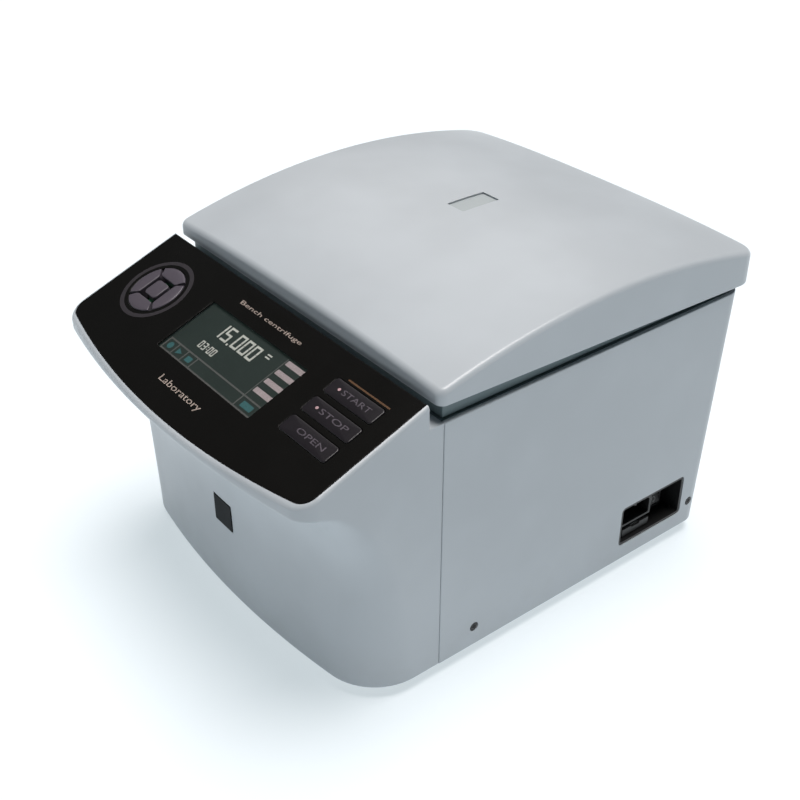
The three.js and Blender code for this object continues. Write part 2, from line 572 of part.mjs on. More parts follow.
function rotorKnob() {
  const low = ROTOR_HIGH + 4 + GAP;
  const blank = turned([
    [THREAD_R + 0.5, low], [13, low], [14, low + 1.5], [14, low + 10], [12, low + 12.5], [0, low + 12.5],
    [0, low + 8], [THREAD_R + 0.5, low + 8]], 0, 0, 24);
  const grips = [];
  for (let i = 0; i < 8; i += 1) {
    const angle = i * Math.PI / 4;
    grips.push(disc(3.2, "z", low - 1, low + 20, 16 * Math.cos(angle), 16 * Math.sin(angle), 8));
  }
  return moved(cut(blank, ...grips), shift(0, AXIS_Y, 0));
}
piece("rotor_knob", rotorKnob(), BLACK_PLASTIC);

// ---- Lid ----------------------------------------------------------------------------------------

/** Height of the lid's upper side at a place in plan. */
function lidTop(x, y) {
  const share = (y - LID_FRONT_Y) / (LID_REAR_Y - LID_FRONT_Y);
  const chord = THREE.MathUtils.lerp(LID_FRONT_TOP, LID_REAR_TOP, share);
  const arch = LID_ARCH * 4 * share * (1 - share);
  return chord + arch + LID_CROWN * (1 - Math.abs(x / LID_HALF) ** CROWN_POWER);
}

function lidBottom(y) {
  const share = (y - LID_FRONT_Y) / (LID_REAR_Y - LID_FRONT_Y);
  return THREE.MathUtils.lerp(LID_FRONT_LOW, LID_REAR_LOW, share);
}

/** A block under the lid's arched surface, lowered by a drop, down to its sloping lower edge. */
function archedBlock(inset, drop, below) {
  const half = LID_HALF - inset;
  const front = LID_FRONT_Y + inset;
  const rear = LID_REAR_Y - inset;
  const geometry = new THREE.BoxGeometry(2 * half, rear - front, 2, 12, 12, 1);
  const position = geometry.attributes.position;
  for (let i = 0; i < position.count; i += 1) {
    const x = position.getX(i);
    const y = position.getY(i) + (front + rear) / 2;
    const z = position.getZ(i) > 0 ? lidTop(x, y) - drop : lidBottom(y) - below;
    position.setXYZ(i, x, y, z);
  }
  const plan = roundedRectangle(-half, half, front, rear, LID_REAR_R - inset, LID_FRONT_R - inset);
  return solid(geometry).intersect(pulled(plan, "z", 100, 300));
}

const windowBlock = (margin, low, high) => block(
  -WINDOW_WIDTH / 2 - margin, WINDOW_WIDTH / 2 + margin, AXIS_Y + 2 - WINDOW_LENGTH / 2 - margin,
  AXIS_Y + 2 + WINDOW_LENGTH / 2 + margin, low, high);

function lidShell() {
  const hingeNotches = [-1, 1].map((side) => block(side * HINGE_X - 2.9, side * HINGE_X + 2.9,
    HINGE_Y - 5, LID_REAR_Y + 5, 170, HINGE_Z + 6));
  return cut(archedBlock(0, 0, 0), archedBlock(LID_SKIN, LID_SKIN, 5), ...hingeNotches,
    windowBlock(GAP, 180, 240));
}
piece("lid_shell", lidShell(), CASING);
piece("lid_sight_window", windowBlock(0, 205, 240).intersect(archedBlock(LID_SKIN, 0.8, 5))
  .subtract(archedBlock(LID_SKIN, LID_SKIN, 5)), CLEAR);

const LINER_Z = 179;
const LINER_T = 2.5;
function lidLiner() {
  const side = 121.2;
  const front = -68;
  const shoulderY = 136;
  const shape = outline([
    [-side, front], [side, front], [side, shoulderY], [72, shoulderY], [72, 154], [-72, 154],
    [-72, shoulderY], [-side, shoulderY]]);
  const plate = pulled(shape, "z", LINER_Z, LINER_Z + LINER_T);
  const skirtLow = DECK_Z + DECK_T + 1;
  const skirts = [
    block(-side, -side + LINER_T, front, shoulderY, skirtLow, 187),
    block(side - LINER_T, side, front, shoulderY, skirtLow, 187),
    block(-side, side, front, front + LINER_T, skirtLow, 187)];
  const collar = windowBlock(2.5, LINER_Z, 206);
  return cut(joined(plate, ...skirts, collar), windowBlock(0.5, 150, 240));
}
piece("lid_liner", lidLiner(), INNER_PLASTIC);

function striker() {
  const tongue = block(-2, 2, LATCH_Y - 4, LATCH_Y + 4, STRIKER_LOW, LINER_Z - GAP);
  const foot = block(-8, 8, LATCH_Y - 5, LATCH_Y + 6, LINER_Z - GAP - 2, LINER_Z - GAP);
  return cut(joined(tongue, foot), disc(3, "x", -5, 5, LATCH_Y, LATCH_Z, 12));
}
piece("lid_striker", striker(), STEEL);

// ---- Hinges -------------------------------------------------------------------------------------

function ear(points, from, to) {
  const arm = pulled(outline(points), "x", from, to);
  const knuckle = disc(KNUCKLE_R, "x", from, to, HINGE_Y, HINGE_Z, 16);
  return cut(joined(arm, knuckle), disc(PIN_R + 0.4, "x", from - 1, to + 1, HINGE_Y, HINGE_Z, 14));
}

/** The wire of a torsion spring: close turns round the pin, and a leg forward at each end. */
function springWire(x0, x1) {
  const turns = 4;
  const steps = turns * 8;
  const radius = 3.3;
  const points = [new THREE.Vector3(x0, HINGE_Y - 13, HINGE_Z + radius)];
  for (let i = 0; i <= steps; i += 1) {
    const angle = Math.PI / 2 + 2 * Math.PI * turns * i / steps;
    points.push(new THREE.Vector3(
      THREE.MathUtils.lerp(x0, x1, i / steps),
      HINGE_Y + radius * Math.cos(angle),
      HINGE_Z + radius * Math.sin(angle)));
  }
  const section = new THREE.Shape().absarc(0, 0, 0.55, 0, 2 * Math.PI);
  const path = new THREE.CatmullRomCurve3(points);
  return solid(new THREE.ExtrudeGeometry(section, { steps: steps + 4, extrudePath: path, curveSegments: 3 }));
}

for (const [side, sign] of [["left", -1], ["right", 1]]) {
  const span = (from, to) => [sign * from, sign * to].sort((a, b) => a - b);
  const footZ = DECK_Z + DECK_T + GAP;
  const bracket = joined(
    ear([[138, footZ], [152, footZ], [HINGE_Y + 2, HINGE_Z - 3.2], [HINGE_Y - 2, HINGE_Z + 3.4],
      [138, footZ + 3]], ...span(HINGE_X - 1.5, HINGE_X + 1.5)),
    block(...span(HINGE_X - 6, HINGE_X + 6), 138, 152, footZ, footZ + 1.8));
  piece(`hinge_bracket_${side}`, bracket, ZINC);
  const liner = LINER_Z + LINER_T + GAP;
  piece(`lid_hinge_arm_${side}`, ear([[108, liner], [134, liner], [HINGE_Y - 2, HINGE_Z - 3.4],
    [HINGE_Y, HINGE_Z + 3.8], [140, liner + 7], [108, liner + 5]],
  ...span(HINGE_X - 6, HINGE_X - 3)), ZINC);
  const pin = disc(PIN_R, "x", ...span(HINGE_X - 7, HINGE_X + 12), HINGE_Y, HINGE_Z, 14);
  piece(`hinge_pin_${side}`, pin, STEEL);
  piece(`hinge_spring_${side}`, springWire(sign * (HINGE_X + 2.6), sign * (HINGE_X + 10)), STEEL);
}

// ---- Fan and drive board ------------------------------------------------------------------------

const FAN_REAR = 148.2;
const FAN_FRONT = FAN_REAR - 15;

function fanFrame() {
  const half = FAN_SIZE / 2;
  const frame = cut(
    pulled(roundedRectangle(FAN_Z - half, FAN_Z + half, FAN_X - half, FAN_X + half, 4), "y",
      FAN_FRONT, FAN_REAR, 1),
    disc(FAN_R, "y", FAN_FRONT - 1, FAN_REAR + 1, FAN_Z, FAN_X, 24));
  const spokes = [0, 1, 2].map((i) => {
    const turn = new THREE.Matrix4().makeRotationY(i * 2 * Math.PI / 3).setPosition(FAN_X, 0, FAN_Z);
    return moved(block(0, FAN_R + 1, FAN_FRONT, FAN_FRONT + 2.5, -1.5, 1.5), turn);
  });
  return joined(frame, disc(11, "y", FAN_FRONT, FAN_FRONT + 2.5, FAN_Z, FAN_X, 16), ...spokes);
}

function fanRotor() {
  const low = FAN_FRONT + 3.2;
  const hub = disc(11, "y", low, FAN_REAR - 1, FAN_Z, FAN_X, 16);
  const blades = [];
  for (let i = 0; i < 7; i += 1) {
    const turn = new THREE.Matrix4().makeRotationY(i * 2 * Math.PI / 7)
      .setPosition(FAN_X, (low + FAN_REAR - 1) / 2, FAN_Z);
    const pitch = new THREE.Matrix4().makeRotationX(THREE.MathUtils.degToRad(35));
    blades.push(moved(block(9, FAN_R - 1.5, -5.2, 5.2, -0.6, 0.6), turn.multiply(pitch)));
  }
  return joined(hub, ...blades);
}
piece("fan_frame", fanFrame(), BLACK_PLASTIC);
piece("fan_rotor", fanRotor(), BLACK_PLASTIC);

function driveBoard() {
  const board = block(-116, -114.4, -30, 62, 38, 108);
  const sink = block(-114.6, -110, -20, 30, 60, 100);
  const fins = [-18, -8, 2, 12, 22].map((y) => block(-110.5, -100, y, y + 3, 60, 100));
  const capacitors = [42, 53].map((y) => disc(5, "x", -114.6, -98, y, 52, 10));
  return joined(board, sink, ...fins, ...capacitors);
}
piece("drive_board", driveBoard(), BOARD);

// ---- Mains entry --------------------------------------------------------------------------------

const INLET = { y0: 79.5, y1: 107.5, z0: 29.2, z1: 46.8 };
const DRAWER = { y0: 81.5, y1: 105.5, z0: 22.2, z1: 27.6 };
const SWITCH = { y0: 111, y1: 126, z0: 23, z1: 46 };
const INLET_FACE_X = 121;
const SOCKET_FLOOR_X = 104;
const SWITCH_FACE_X = 113.5;
const SWITCH_RIM = 1.8;
const ROCKER_X = 108; // the rocker turns about this line
const ROCKER_TILT = THREE.MathUtils.degToRad(-10);
const sized = ({ y0, y1, z0, z1 }, grow, x0, x1) => block(x0, x1, y0 - grow, y1 + grow, z0 - grow, z1 + grow);

function entryTray() {
  const rim = roundedRectangle(POCKET.y0 + GAP, POCKET.y1 - GAP, POCKET.z0 + GAP, POCKET.z1 - GAP, 2.7);
  const shell = pulled(rim, "x", POCKET_FLOOR_X, BODY_HALF - 0.4);
  const hollow = sized(POCKET, -1.8, POCKET_FLOOR_X + 2, BODY_HALF + 5);
  const openings = [INLET, DRAWER, SWITCH].map((part) => sized(part, GAP, POCKET_FLOOR_X - 5, BODY_HALF));
  return cut(shell, hollow, ...openings);
}

function mainsInlet() {
  const socket = outline([
    [81.5, 31], [105.5, 31], [105.5, 41], [101.5, 45], [85.5, 45], [81.5, 41]]);
  const hollow = pulled(socket, "x", SOCKET_FLOOR_X, INLET_FACE_X + 5);
  const housing = cut(sized(INLET, 0, 98, INLET_FACE_X), hollow);
  const pin = (y, z) => block(SOCKET_FLOOR_X - 0.5, 115, y - 1, y + 1, z - 2, z + 2);
  return joined(housing, pin(86.5, 36), pin(100.5, 36), pin(93.5, 40));
}

function switchHousing() {
  return cut(sized(SWITCH, 0, 97, SWITCH_FACE_X), sized(SWITCH, -SWITCH_RIM, 99, SWITCH_FACE_X + 5));
}

/** The rocker's section is a shallow V in (z, x) about its pivot, tilted to one side. */
function rockerSwitch() {
  const profile = outline([[0, 4.2], [8.6, 5.5], [6, -3], [-6, -3], [-8.6, 5.5]]);
  const blank = pulled(profile, "y", SWITCH.y0 + SWITCH_RIM + 0.5, SWITCH.y1 - SWITCH_RIM - 0.5);
  const tilt = new THREE.Matrix4().makeRotationY(ROCKER_TILT);
  return moved(blank, tilt.setPosition(ROCKER_X, 0, (SWITCH.z0 + SWITCH.z1) / 2));
}

function fuseDrawer() {
  const body = sized(DRAWER, 0, 100, 122);
  const lipCut = block(120.5, 125, 90, 97, 26.4, 30);
  return cut(body, lipCut);
}

piece("power_entry_tray", entryTray(), BLACK_PLASTIC);
piece("mains_inlet", mainsInlet(), BLACK_PLASTIC);
piece("switch_housing", switchHousing(), BLACK_PLASTIC);
piece("rocker_switch", rockerSwitch(), BLACK_PLASTIC);
piece("fuse_drawer", fuseDrawer(), BLACK_PLASTIC);

export default centrifuge;
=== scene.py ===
"""Looks of a bench-top laboratory microcentrifuge.

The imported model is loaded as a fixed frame. Each sub-assembly is a class that reads its place from
that frame, builds finer meshes over the plain ones and dresses every piece in a procedural finish.
Sizes are in millimetres until a mesh is made, +Z up, and the console faces -Y.
"""
from __future__ import annotations

import json
import logging
import math
from dataclasses import dataclass, field
from enum import Enum
from typing import Any, Callable, ClassVar, Iterable, Sequence, Union

import bmesh
import bpy
from mathutils import Matrix, Vector

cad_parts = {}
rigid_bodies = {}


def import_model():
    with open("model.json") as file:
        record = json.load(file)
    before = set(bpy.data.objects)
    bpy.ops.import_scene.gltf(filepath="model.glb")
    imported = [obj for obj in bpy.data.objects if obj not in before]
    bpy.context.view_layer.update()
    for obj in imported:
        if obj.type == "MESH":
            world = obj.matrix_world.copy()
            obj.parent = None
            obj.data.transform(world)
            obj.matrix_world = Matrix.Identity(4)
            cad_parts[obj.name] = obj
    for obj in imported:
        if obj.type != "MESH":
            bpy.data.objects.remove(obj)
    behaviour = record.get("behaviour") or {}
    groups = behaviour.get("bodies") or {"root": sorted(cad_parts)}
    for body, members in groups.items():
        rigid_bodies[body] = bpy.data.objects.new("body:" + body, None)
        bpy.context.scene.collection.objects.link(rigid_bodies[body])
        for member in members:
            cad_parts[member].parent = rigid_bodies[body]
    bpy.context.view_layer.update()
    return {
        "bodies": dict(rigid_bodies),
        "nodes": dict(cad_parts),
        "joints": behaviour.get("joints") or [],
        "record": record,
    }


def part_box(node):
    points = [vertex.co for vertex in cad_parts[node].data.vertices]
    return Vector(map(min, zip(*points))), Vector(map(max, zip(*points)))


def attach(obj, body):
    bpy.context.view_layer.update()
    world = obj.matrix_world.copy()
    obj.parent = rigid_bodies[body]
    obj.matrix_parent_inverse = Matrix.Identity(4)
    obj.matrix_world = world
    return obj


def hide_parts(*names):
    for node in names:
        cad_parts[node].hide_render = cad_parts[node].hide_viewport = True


LOG = logging.getLogger("centrifuge")
MM = 0.001
SHARP_DEGREES = 35.0

Point2 = tuple[float, float]
Point3 = tuple[float, float, float]
Number = Union[int, float]
Colour = tuple[float, float, float]


# ---- Shaders ------------------------------------------------------------------------------------


class Wire:
    """A node's output that takes part in arithmetic, each operator adding one Math node."""

    def __init__(self, shader: "Shader", socket: bpy.types.NodeSocket) -> None:
        """Wraps a socket of a shader's tree."""
        self.shader = shader
        self.socket = socket

    def _maths(self, operation: str, *values: Union["Wire", Number]) -> "Wire":
        """Adds a Math node.

        Args:
            operation: the Math node's operation.
            values: its inputs in order.

        Returns:
            The node's result.
        """
        inputs = dict(enumerate(values))
        return self.shader.node("ShaderNodeMath", {"operation": operation}, inputs)[0]

    def __add__(self, other: Union["Wire", Number]) -> "Wire":
        """Sum."""
        return self._maths("ADD", self, other)

    __radd__ = __add__

    def __sub__(self, other: Union["Wire", Number]) -> "Wire":
        """Difference."""
        return self._maths("SUBTRACT", self, other)

    def __rsub__(self, other: Number) -> "Wire":
        """Difference with a number in front."""
        return self._maths("SUBTRACT", other, self)

    def __mul__(self, other: Union["Wire", Number]) -> "Wire":
        """Product."""
        return self._maths("MULTIPLY", self, other)

    __rmul__ = __mul__

    def __truediv__(self, other: Union["Wire", Number]) -> "Wire":
        """Quotient."""
        return self._maths("DIVIDE", self, other)

    def __rtruediv__(self, other: Number) -> "Wire":
        """Quotient with a number in front."""
        return self._maths("DIVIDE", other, self)

    def __pow__(self, other: Number) -> "Wire":
        """Power."""
        return self._maths("POWER", self, other)

    def ramp(self, low: float, high: float, start: float = 0.0, end: float = 1.0) -> "Wire":
        """Maps low..high smoothly to start..end, and holds the ends.

        Args:
            low: input where the change starts.
            high: input where it ends.
            start: value at low.
            end: value at high.

        Returns:
            The mapped value.
        """
        return self.shader.node("ShaderNodeMapRange", {"interpolation_type": "SMOOTHSTEP"}, {
            "Value": self, "From Min": low, "From Max": high, "To Min": start, "To Max": end})[0]


class Outputs:
    """The outputs of a node, by place or by name."""

    def __init__(self, shader: "Shader", node: bpy.types.Node) -> None:
        """Keeps a node of a shader's tree."""
        self.shader = shader
        self.made = node

    def __getitem__(self, key: Union[int, str]) -> Wire:
        """One output as a wire."""
        return Wire(self.shader, self.made.outputs[key])


class Shader:
    """A material's node tree."""

    def __init__(self, name: str) -> None:
        """Starts an empty tree in a new material."""
        self.material = bpy.data.materials.new(name)
        self.material.use_nodes = True
        self.tree = self.material.node_tree
        self.tree.nodes.clear()

    def node(self, kind: str, settings: dict[str, Any] | None = None,
             inputs: dict[Union[int, str], Any] | None = None) -> Outputs:
        """Adds a node.

        Args:
            kind: the node's type.
            settings: its own settings.
            inputs: values or wires for its sockets, by name or place.

        Returns:
            The node's outputs.
        """
        made = self.tree.nodes.new(kind)
        for name, value in (settings or {}).items():
            setattr(made, name, value)
        for key, value in (inputs or {}).items():
            if isinstance(value, Wire):
                self.tree.links.new(value.socket, made.inputs[key])
            else:
                made.inputs[key].default_value = value
        return Outputs(self, made)

    def place(self) -> Wire:
        """The point on the piece at rest, in metres in the machine's frame."""
        return self.node("ShaderNodeTexCoord")["Object"]

    def axes(self) -> tuple[Wire, Wire, Wire]:
        """The place's x, y and z as numbers."""
        split = self.node("ShaderNodeSeparateXYZ", None, {"Vector": self.place()})
        return split["X"], split["Y"], split["Z"]

    def vector(self, x: Wire | Number, y: Wire | Number, z: Wire | Number) -> Wire:
        """A vector from three numbers."""
        return self.node("ShaderNodeCombineXYZ", None, {"X": x, "Y": y, "Z": z})["Vector"]

    def noise(self, scale: float, detail: float = 2.0, roughness: float = 0.5,
              where: Wire | None = None) -> Wire:
        """Soft noise from 0 to 1.

        Args:
            scale: features per metre.
            detail: octaves.
            roughness: strength of the finer octaves.
            where: the place to read it at, the piece's own place by default.

        Returns:
            The noise.
        """
        return self.node("ShaderNodeTexNoise", None, {
            "Vector": where or self.place(), "Scale": scale, "Detail": detail,
            "Roughness": roughness})["Fac"]

    def blend(self, share: Wire, first: Colour | Wire, second: Colour | Wire) -> Wire:
        """A colour between two, by a share from 0 to 1."""
        def full(colour: Colour | Wire) -> Any:
            """Adds the fourth number to a plain colour."""
            return colour if isinstance(colour, Wire) else (*colour, 1.0)
        return self.node("ShaderNodeMix", {"data_type": "RGBA"}, {
            "Factor": share, 6: full(first), 7: full(second)})[2]

    def bump(self, height: Wire, depth_mm: float, strength: float = 1.0) -> Wire:
        """A normal from a height between 0 and 1 that stands for a depth in millimetres."""
        return self.node("ShaderNodeBump", None, {
            "Strength": strength, "Distance": depth_mm * MM, "Height": height})["Normal"]

    def surface(self, **inputs: Any) -> bpy.types.Material:
        """Ends the tree in one Principled surface.

        Args:
            inputs: the surface's sockets, their names with _ for a space.

        Returns:
            The finished material.
        """
        values = {}
        for key, value in inputs.items():
            plain_colour = key in ("Base_Color", "Emission_Color") and not isinstance(value, Wire)
            values[key.replace("_", " ")] = (*value, 1.0) if plain_colour else value
        made = self.node("ShaderNodeBsdfPrincipled", None, values)
        self.node("ShaderNodeOutputMaterial", None, {"Surface": made["BSDF"]})
        return self.material


@dataclass(frozen=True)
class Finish:
    """What a surface is made of. Each finish makes its material once."""

    name: str
    slot: str
    made: ClassVar[dict[str, bpy.types.Material]] = {}

    def draw(self, shader: Shader) -> bpy.types.Material:
        """Builds the node tree; each kind of finish has its own."""
        raise NotImplementedError

    def material(self) -> bpy.types.Material:
        """The material, made on first use."""
        if self.name not in Finish.made:
            Finish.made[self.name] = self.draw(Shader(self.name))
        return Finish.made[self.name]


@dataclass(frozen=True)
class MouldedPlastic(Finish):
    """Moulded plastic with a spark-eroded grain, faint flow mottling and handling marks."""

    colour: Colour = (0.5, 0.5, 0.5)
    roughness: float = 0.4
    grain_mm: float = 0.9
    grain_depth_mm: float = 0.012
    mottle: float = 0.05
    bottom_darkening: float = 0.0

    def draw(self, shader: Shader) -> bpy.types.Material:
        """Grain in the bump, mottling in the colour, smudges in the roughness."""
        grain = shader.noise(1000 / self.grain_mm, 3.0, 0.6)
        broad = shader.noise(11.0, 3.0)
        smudge = shader.noise(38.0, 4.0, 0.62)
        darker = tuple(c * (1 - self.mottle) for c in self.colour)
        lighter = tuple(min(c * (1 + self.mottle), 1.0) for c in self.colour)
        colour = shader.blend(broad.ramp(0.3, 0.7), darker, lighter)
        # Darker towards the bottom: below a height of 50 mm the colour moves towards a darker grey, in
        # patches set by the smudge noise.
        if self.bottom_darkening:
            _, _, height = shader.axes()
            near_bottom_darkening = height.ramp(0.008, 0.05, self.bottom_darkening, 0.0) * smudge.ramp(0.35, 0.7)
            colour = shader.blend(near_bottom_darkening, colour, (0.33, 0.33, 0.32))
        roughness = self.roughness + (smudge - 0.5) * 0.14 + (grain - 0.5) * 0.05
        return shader.surface(Base_Color=colour, Roughness=roughness, IOR=1.49,
                              Normal=shader.bump(grain, self.grain_depth_mm))


@dataclass(frozen=True)
class GlossMembrane(Finish):
    """Hard-coated printed film: near black, glossy, with finger smears and a slight orange peel."""

    colour: Colour = (0.0055, 0.005, 0.0045)
    roughness: float = 0.24
    gloss: float = 0.25

    def draw(self, shader: Shader) -> bpy.types.Material:
        """Smears in the roughness and a long soft wave in the bump."""
        smear = shader.noise(30.0, 5.0, 0.65)
        wave = shader.noise(140.0, 1.0)
        speck = shader.noise(2600.0, 1.0).ramp(0.72, 0.8, 0.0, 0.35)
        colour = shader.blend(speck, self.colour, tuple(c * 3.5 for c in self.colour))
        return shader.surface(Base_Color=colour, Roughness=self.roughness + (smear - 0.5) * 0.2,
                              Normal=shader.bump(wave, 0.008), Specular_IOR_Level=self.gloss)


@dataclass(frozen=True)
class SoftRubber(Finish):
    """Moulded rubber: dark, matt and slightly bloomed."""

    colour: Colour = (0.018, 0.018, 0.019)

    def draw(self, shader: Shader) -> bpy.types.Material:
        """A pale bloom over fine pitting."""
        pits = shader.noise(1800.0, 2.0)
        bloom = shader.noise(60.0, 4.0, 0.6).ramp(0.45, 0.75, 0.0, 0.5)
        colour = shader.blend(bloom, self.colour, (0.05, 0.05, 0.052))
        return shader.surface(Base_Color=colour, Roughness=0.75 + pits * 0.15,
                              Normal=shader.bump(pits, 0.03))


class Lay(Enum):
    """Which way the machining marks run."""

    TURNED = "turned"
    LENGTHWISE = "lengthwise"
    CRYSTAL = "crystal"


@dataclass(frozen=True)
class WorkedMetal(Finish):
    """Bare, plated or anodised metal with marks of how it was worked."""

    colour: Colour = (0.5, 0.5, 0.5)
    roughness: float = 0.3
    lay: Lay = Lay.TURNED
    metallic: float = 1.0
    axis_y: float = 0.054
    mark_depth_mm: float = 0.01

    def marks(self, shader: Shader) -> Wire:
        """The height of the working marks, by their lay."""
        x, y, z = shader.axes()
        if self.lay is Lay.TURNED:
            ahead = y - self.axis_y
            radius = (x * x + ahead * ahead) ** 0.5
            return shader.noise(1.0, 3.0, 0.7, shader.vector(radius * 2600, z * 2600, 0.0))
        if self.lay is Lay.LENGTHWISE:
            return shader.noise(1.0, 3.0, 0.7, shader.vector(x * 90, y * 2400, z * 2400))
        cells = shader.node("ShaderNodeTexVoronoi", None, {"Vector": shader.place(), "Scale": 190.0})
        return cells["Distance"] * 1.6

    def draw(self, shader: Shader) -> bpy.types.Material:
        """Marks in the bump and roughness, and a little tarnish in the colour."""
        marks = self.marks(shader)
        tarnish = shader.noise(45.0, 4.0, 0.6)
        darker = tuple(c * 0.82 for c in self.colour)
        colour = shader.blend(tarnish.ramp(0.35, 0.7), self.colour, darker)
        return shader.surface(Base_Color=colour, Metallic=self.metallic,
                              Roughness=self.roughness + (marks - 0.5) * 0.18,
                              Normal=shader.bump(marks, self.mark_depth_mm))


@dataclass(frozen=True)
class ClearPane(Finish):
    """A clear or tinted pane that shows what lies under it."""

    colour: Colour = (0.02, 0.03, 0.027)
    opacity: float = 0.3
    roughness: float = 0.12

    def draw(self, shader: Shader) -> bpy.types.Material:
        """Thin dusty film over a see-through body."""
        film = shader.noise(70.0, 4.0, 0.6)
        return shader.surface(Base_Color=self.colour, Alpha=self.opacity + (film - 0.5) * 0.06,
                              Roughness=self.roughness + film * 0.08, Specular_IOR_Level=0.4)


@dataclass(frozen=True)
class LiquidCrystal(Finish):
    """The face of a backlit liquid-crystal display: dark, with its pixel grid and an uneven glow."""

    colour: Colour = (0.019, 0.028, 0.025)
    glow: Colour = (0.018, 0.030, 0.027)
    strength: float = 0.25

    def draw(self, shader: Shader) -> bpy.types.Material:
        """A fine grid over a soft patchy glow."""
        x, y, _ = shader.axes()
        pitch = 2 * math.pi / (0.45 * MM)
        across = shader.node("ShaderNodeMath", {"operation": "SINE"}, {0: x * pitch})[0]
        down = shader.node("ShaderNodeMath", {"operation": "SINE"}, {0: y * pitch})[0]
        grid = (across * 0.5 + 0.5) * (down * 0.5 + 0.5)
        patch = shader.noise(26.0, 2.0)
        colour = shader.blend(grid * 0.25, self.colour, tuple(c * 0.5 for c in self.colour))
        lit = shader.blend(patch.ramp(0.3, 0.7), self.glow, tuple(c * 1.5 for c in self.glow))
        return shader.surface(Base_Color=colour, Roughness=0.5, Emission_Color=lit,
                              Emission_Strength=self.strength)


@dataclass(frozen=True)
class PrintedInk(Finish):
    """Printed or lit marks on the display and the keys."""

    colour: Colour = (0.7, 0.7, 0.68)
    strength: float = 0.0

    def draw(self, shader: Shader) -> bpy.types.Material:
        """Ink with a slightly uneven cover."""
        cover = shader.noise(900.0, 2.0)
        colour = shader.blend(cover.ramp(0.3, 0.75), tuple(c * 0.8 for c in self.colour), self.colour)
        return shader.surface(Base_Color=colour, Roughness=0.45 + cover * 0.1,
                              Emission_Color=colour, Emission_Strength=self.strength)


@dataclass(frozen=True)
class CircuitBoard(Finish):
    """Solder-masked board with faint tracks under the mask."""

    colour: Colour = (0.012, 0.09, 0.04)

    def draw(self, shader: Shader) -> bpy.types.Material:
        """Straight tracks from stepped noise."""
        x, y, z = shader.axes()
        lines = shader.noise(1.0, 0.0, 0.5, shader.vector(x * 60, y * 420, z * 420))
        tracks = lines.ramp(0.5, 0.53)
        colour = shader.blend(tracks, self.colour, tuple(c * 1.9 for c in self.colour))
        return shader.surface(Base_Color=colour, Roughness=0.35, Normal=shader.bump(tracks, 0.03))


@dataclass(frozen=True)
class BenchTop(Finish):
    """The plain pale floor of the studio, lit from under like a light table."""

    colour: Colour = (0.42, 0.44, 0.46)
    glow: Colour = (0.87, 0.96, 1.0)
    strength: float = 0.6

    def draw(self, shader: Shader) -> bpy.types.Material:
        """Nearly flat white with a faint cloud."""
        cloud = shader.noise(1.2, 2.0)
        colour = shader.blend(cloud, self.colour, tuple(c * 0.985 for c in self.colour))
        return shader.surface(Base_Color=colour, Roughness=0.9, Specular_IOR_Level=0.1,
                              Emission_Color=self.glow, Emission_Strength=self.strength)


CASING = MouldedPlastic("casing_plastic", "casing", (0.475, 0.512, 0.548), 0.34, bottom_darkening=0.12)
# Painted shade: this dark teal grey is the shaded tone of the gap under the lid, given as the own colour of
# the deck and the lid liner.
INNER_PAINTED_SHADE = MouldedPlastic("inner_plastic", "inner_plastic", (0.135, 0.185, 0.20), 0.48)
BLACK = MouldedPlastic("black_plastic", "black_plastic", (0.010, 0.0105, 0.011), 0.42, 0.6, 0.02)
KEY_CAP = MouldedPlastic("key_plastic", "key_plastic", (0.085, 0.074, 0.092), 0.34, 0.5, 0.008, 0.08)
WIDE_CAP = MouldedPlastic("wide_key_plastic", "key_plastic", (0.013, 0.0105, 0.0135), 0.32, 0.5, 0.008,
                          0.08)
MEMBRANE = GlossMembrane("gloss_membrane", "gloss_black")
BADGE = GlossMembrane("badge_plate", "gloss_black", (0.004, 0.006, 0.008), 0.45, 0.05)
RUBBER = SoftRubber("soft_rubber", "rubber")
STAINLESS = WorkedMetal("stainless_turned", "stainless", (0.60, 0.61, 0.62), 0.42)
BRIGHT = WorkedMetal("bright_steel", "stainless", (0.62, 0.62, 0.63), 0.34, Lay.LENGTHWISE)
ZINC = WorkedMetal("zinc_plate", "zinc_steel", (0.45, 0.46, 0.47), 0.42, Lay.CRYSTAL, 0.95,
                   mark_depth_mm=0.004)
ANODISED = WorkedMetal("anodised_aluminium", "aluminium", (0.075, 0.08, 0.088), 0.36, Lay.TURNED, 0.85)
CAST = WorkedMetal("cast_aluminium", "aluminium", (0.35, 0.36, 0.37), 0.5, Lay.CRYSTAL, 0.9)
DISPLAY_PANE = ClearPane("display_pane", "display_pane", opacity=0.18)
SIGHT_PANE = ClearPane("sight_pane", "clear_pane", (0.52, 0.57, 0.59), 0.72, 0.3)
CRYSTAL = LiquidCrystal("display_face", "display_pane")
DIGIT_INK = PrintedInk("digit_ink", "display_pane", (0.62, 0.63, 0.58), 0.5)
TEAL_INK = PrintedInk("teal_ink", "display_pane", (0.05, 0.16, 0.17), 0.35)
FRAME_INK = PrintedInk("frame_ink", "display_pane", (0.15, 0.15, 0.145), 0.15)
TEXT_INK = PrintedInk("text_ink", "gloss_black", (0.40, 0.33, 0.29))
KEY_INK = PrintedInk("key_ink", "key_plastic", (0.095, 0.080, 0.100))
SOFT_INK = PrintedInk("soft_key_ink", "display_pane", (0.50, 0.42, 0.43), 0.35)
RING_INK = PrintedInk("ring_ink", "gloss_black", (0.024, 0.020, 0.025))
LED_INK = PrintedInk("lamp_ink", "key_plastic", (0.42, 0.27, 0.29), 0.3)
AMBER_INK = PrintedInk("amber_ink", "gloss_black", (0.10, 0.045, 0.015), 0.05)
MARK_INK = PrintedInk("mark_ink", "black_plastic", (0.22, 0.22, 0.22))
BOARD = CircuitBoard("circuit_board", "circuit_board")
BENCH = BenchTop("bench_top", "casing")


# ---- Meshes -------------------------------------------------------------------------------------


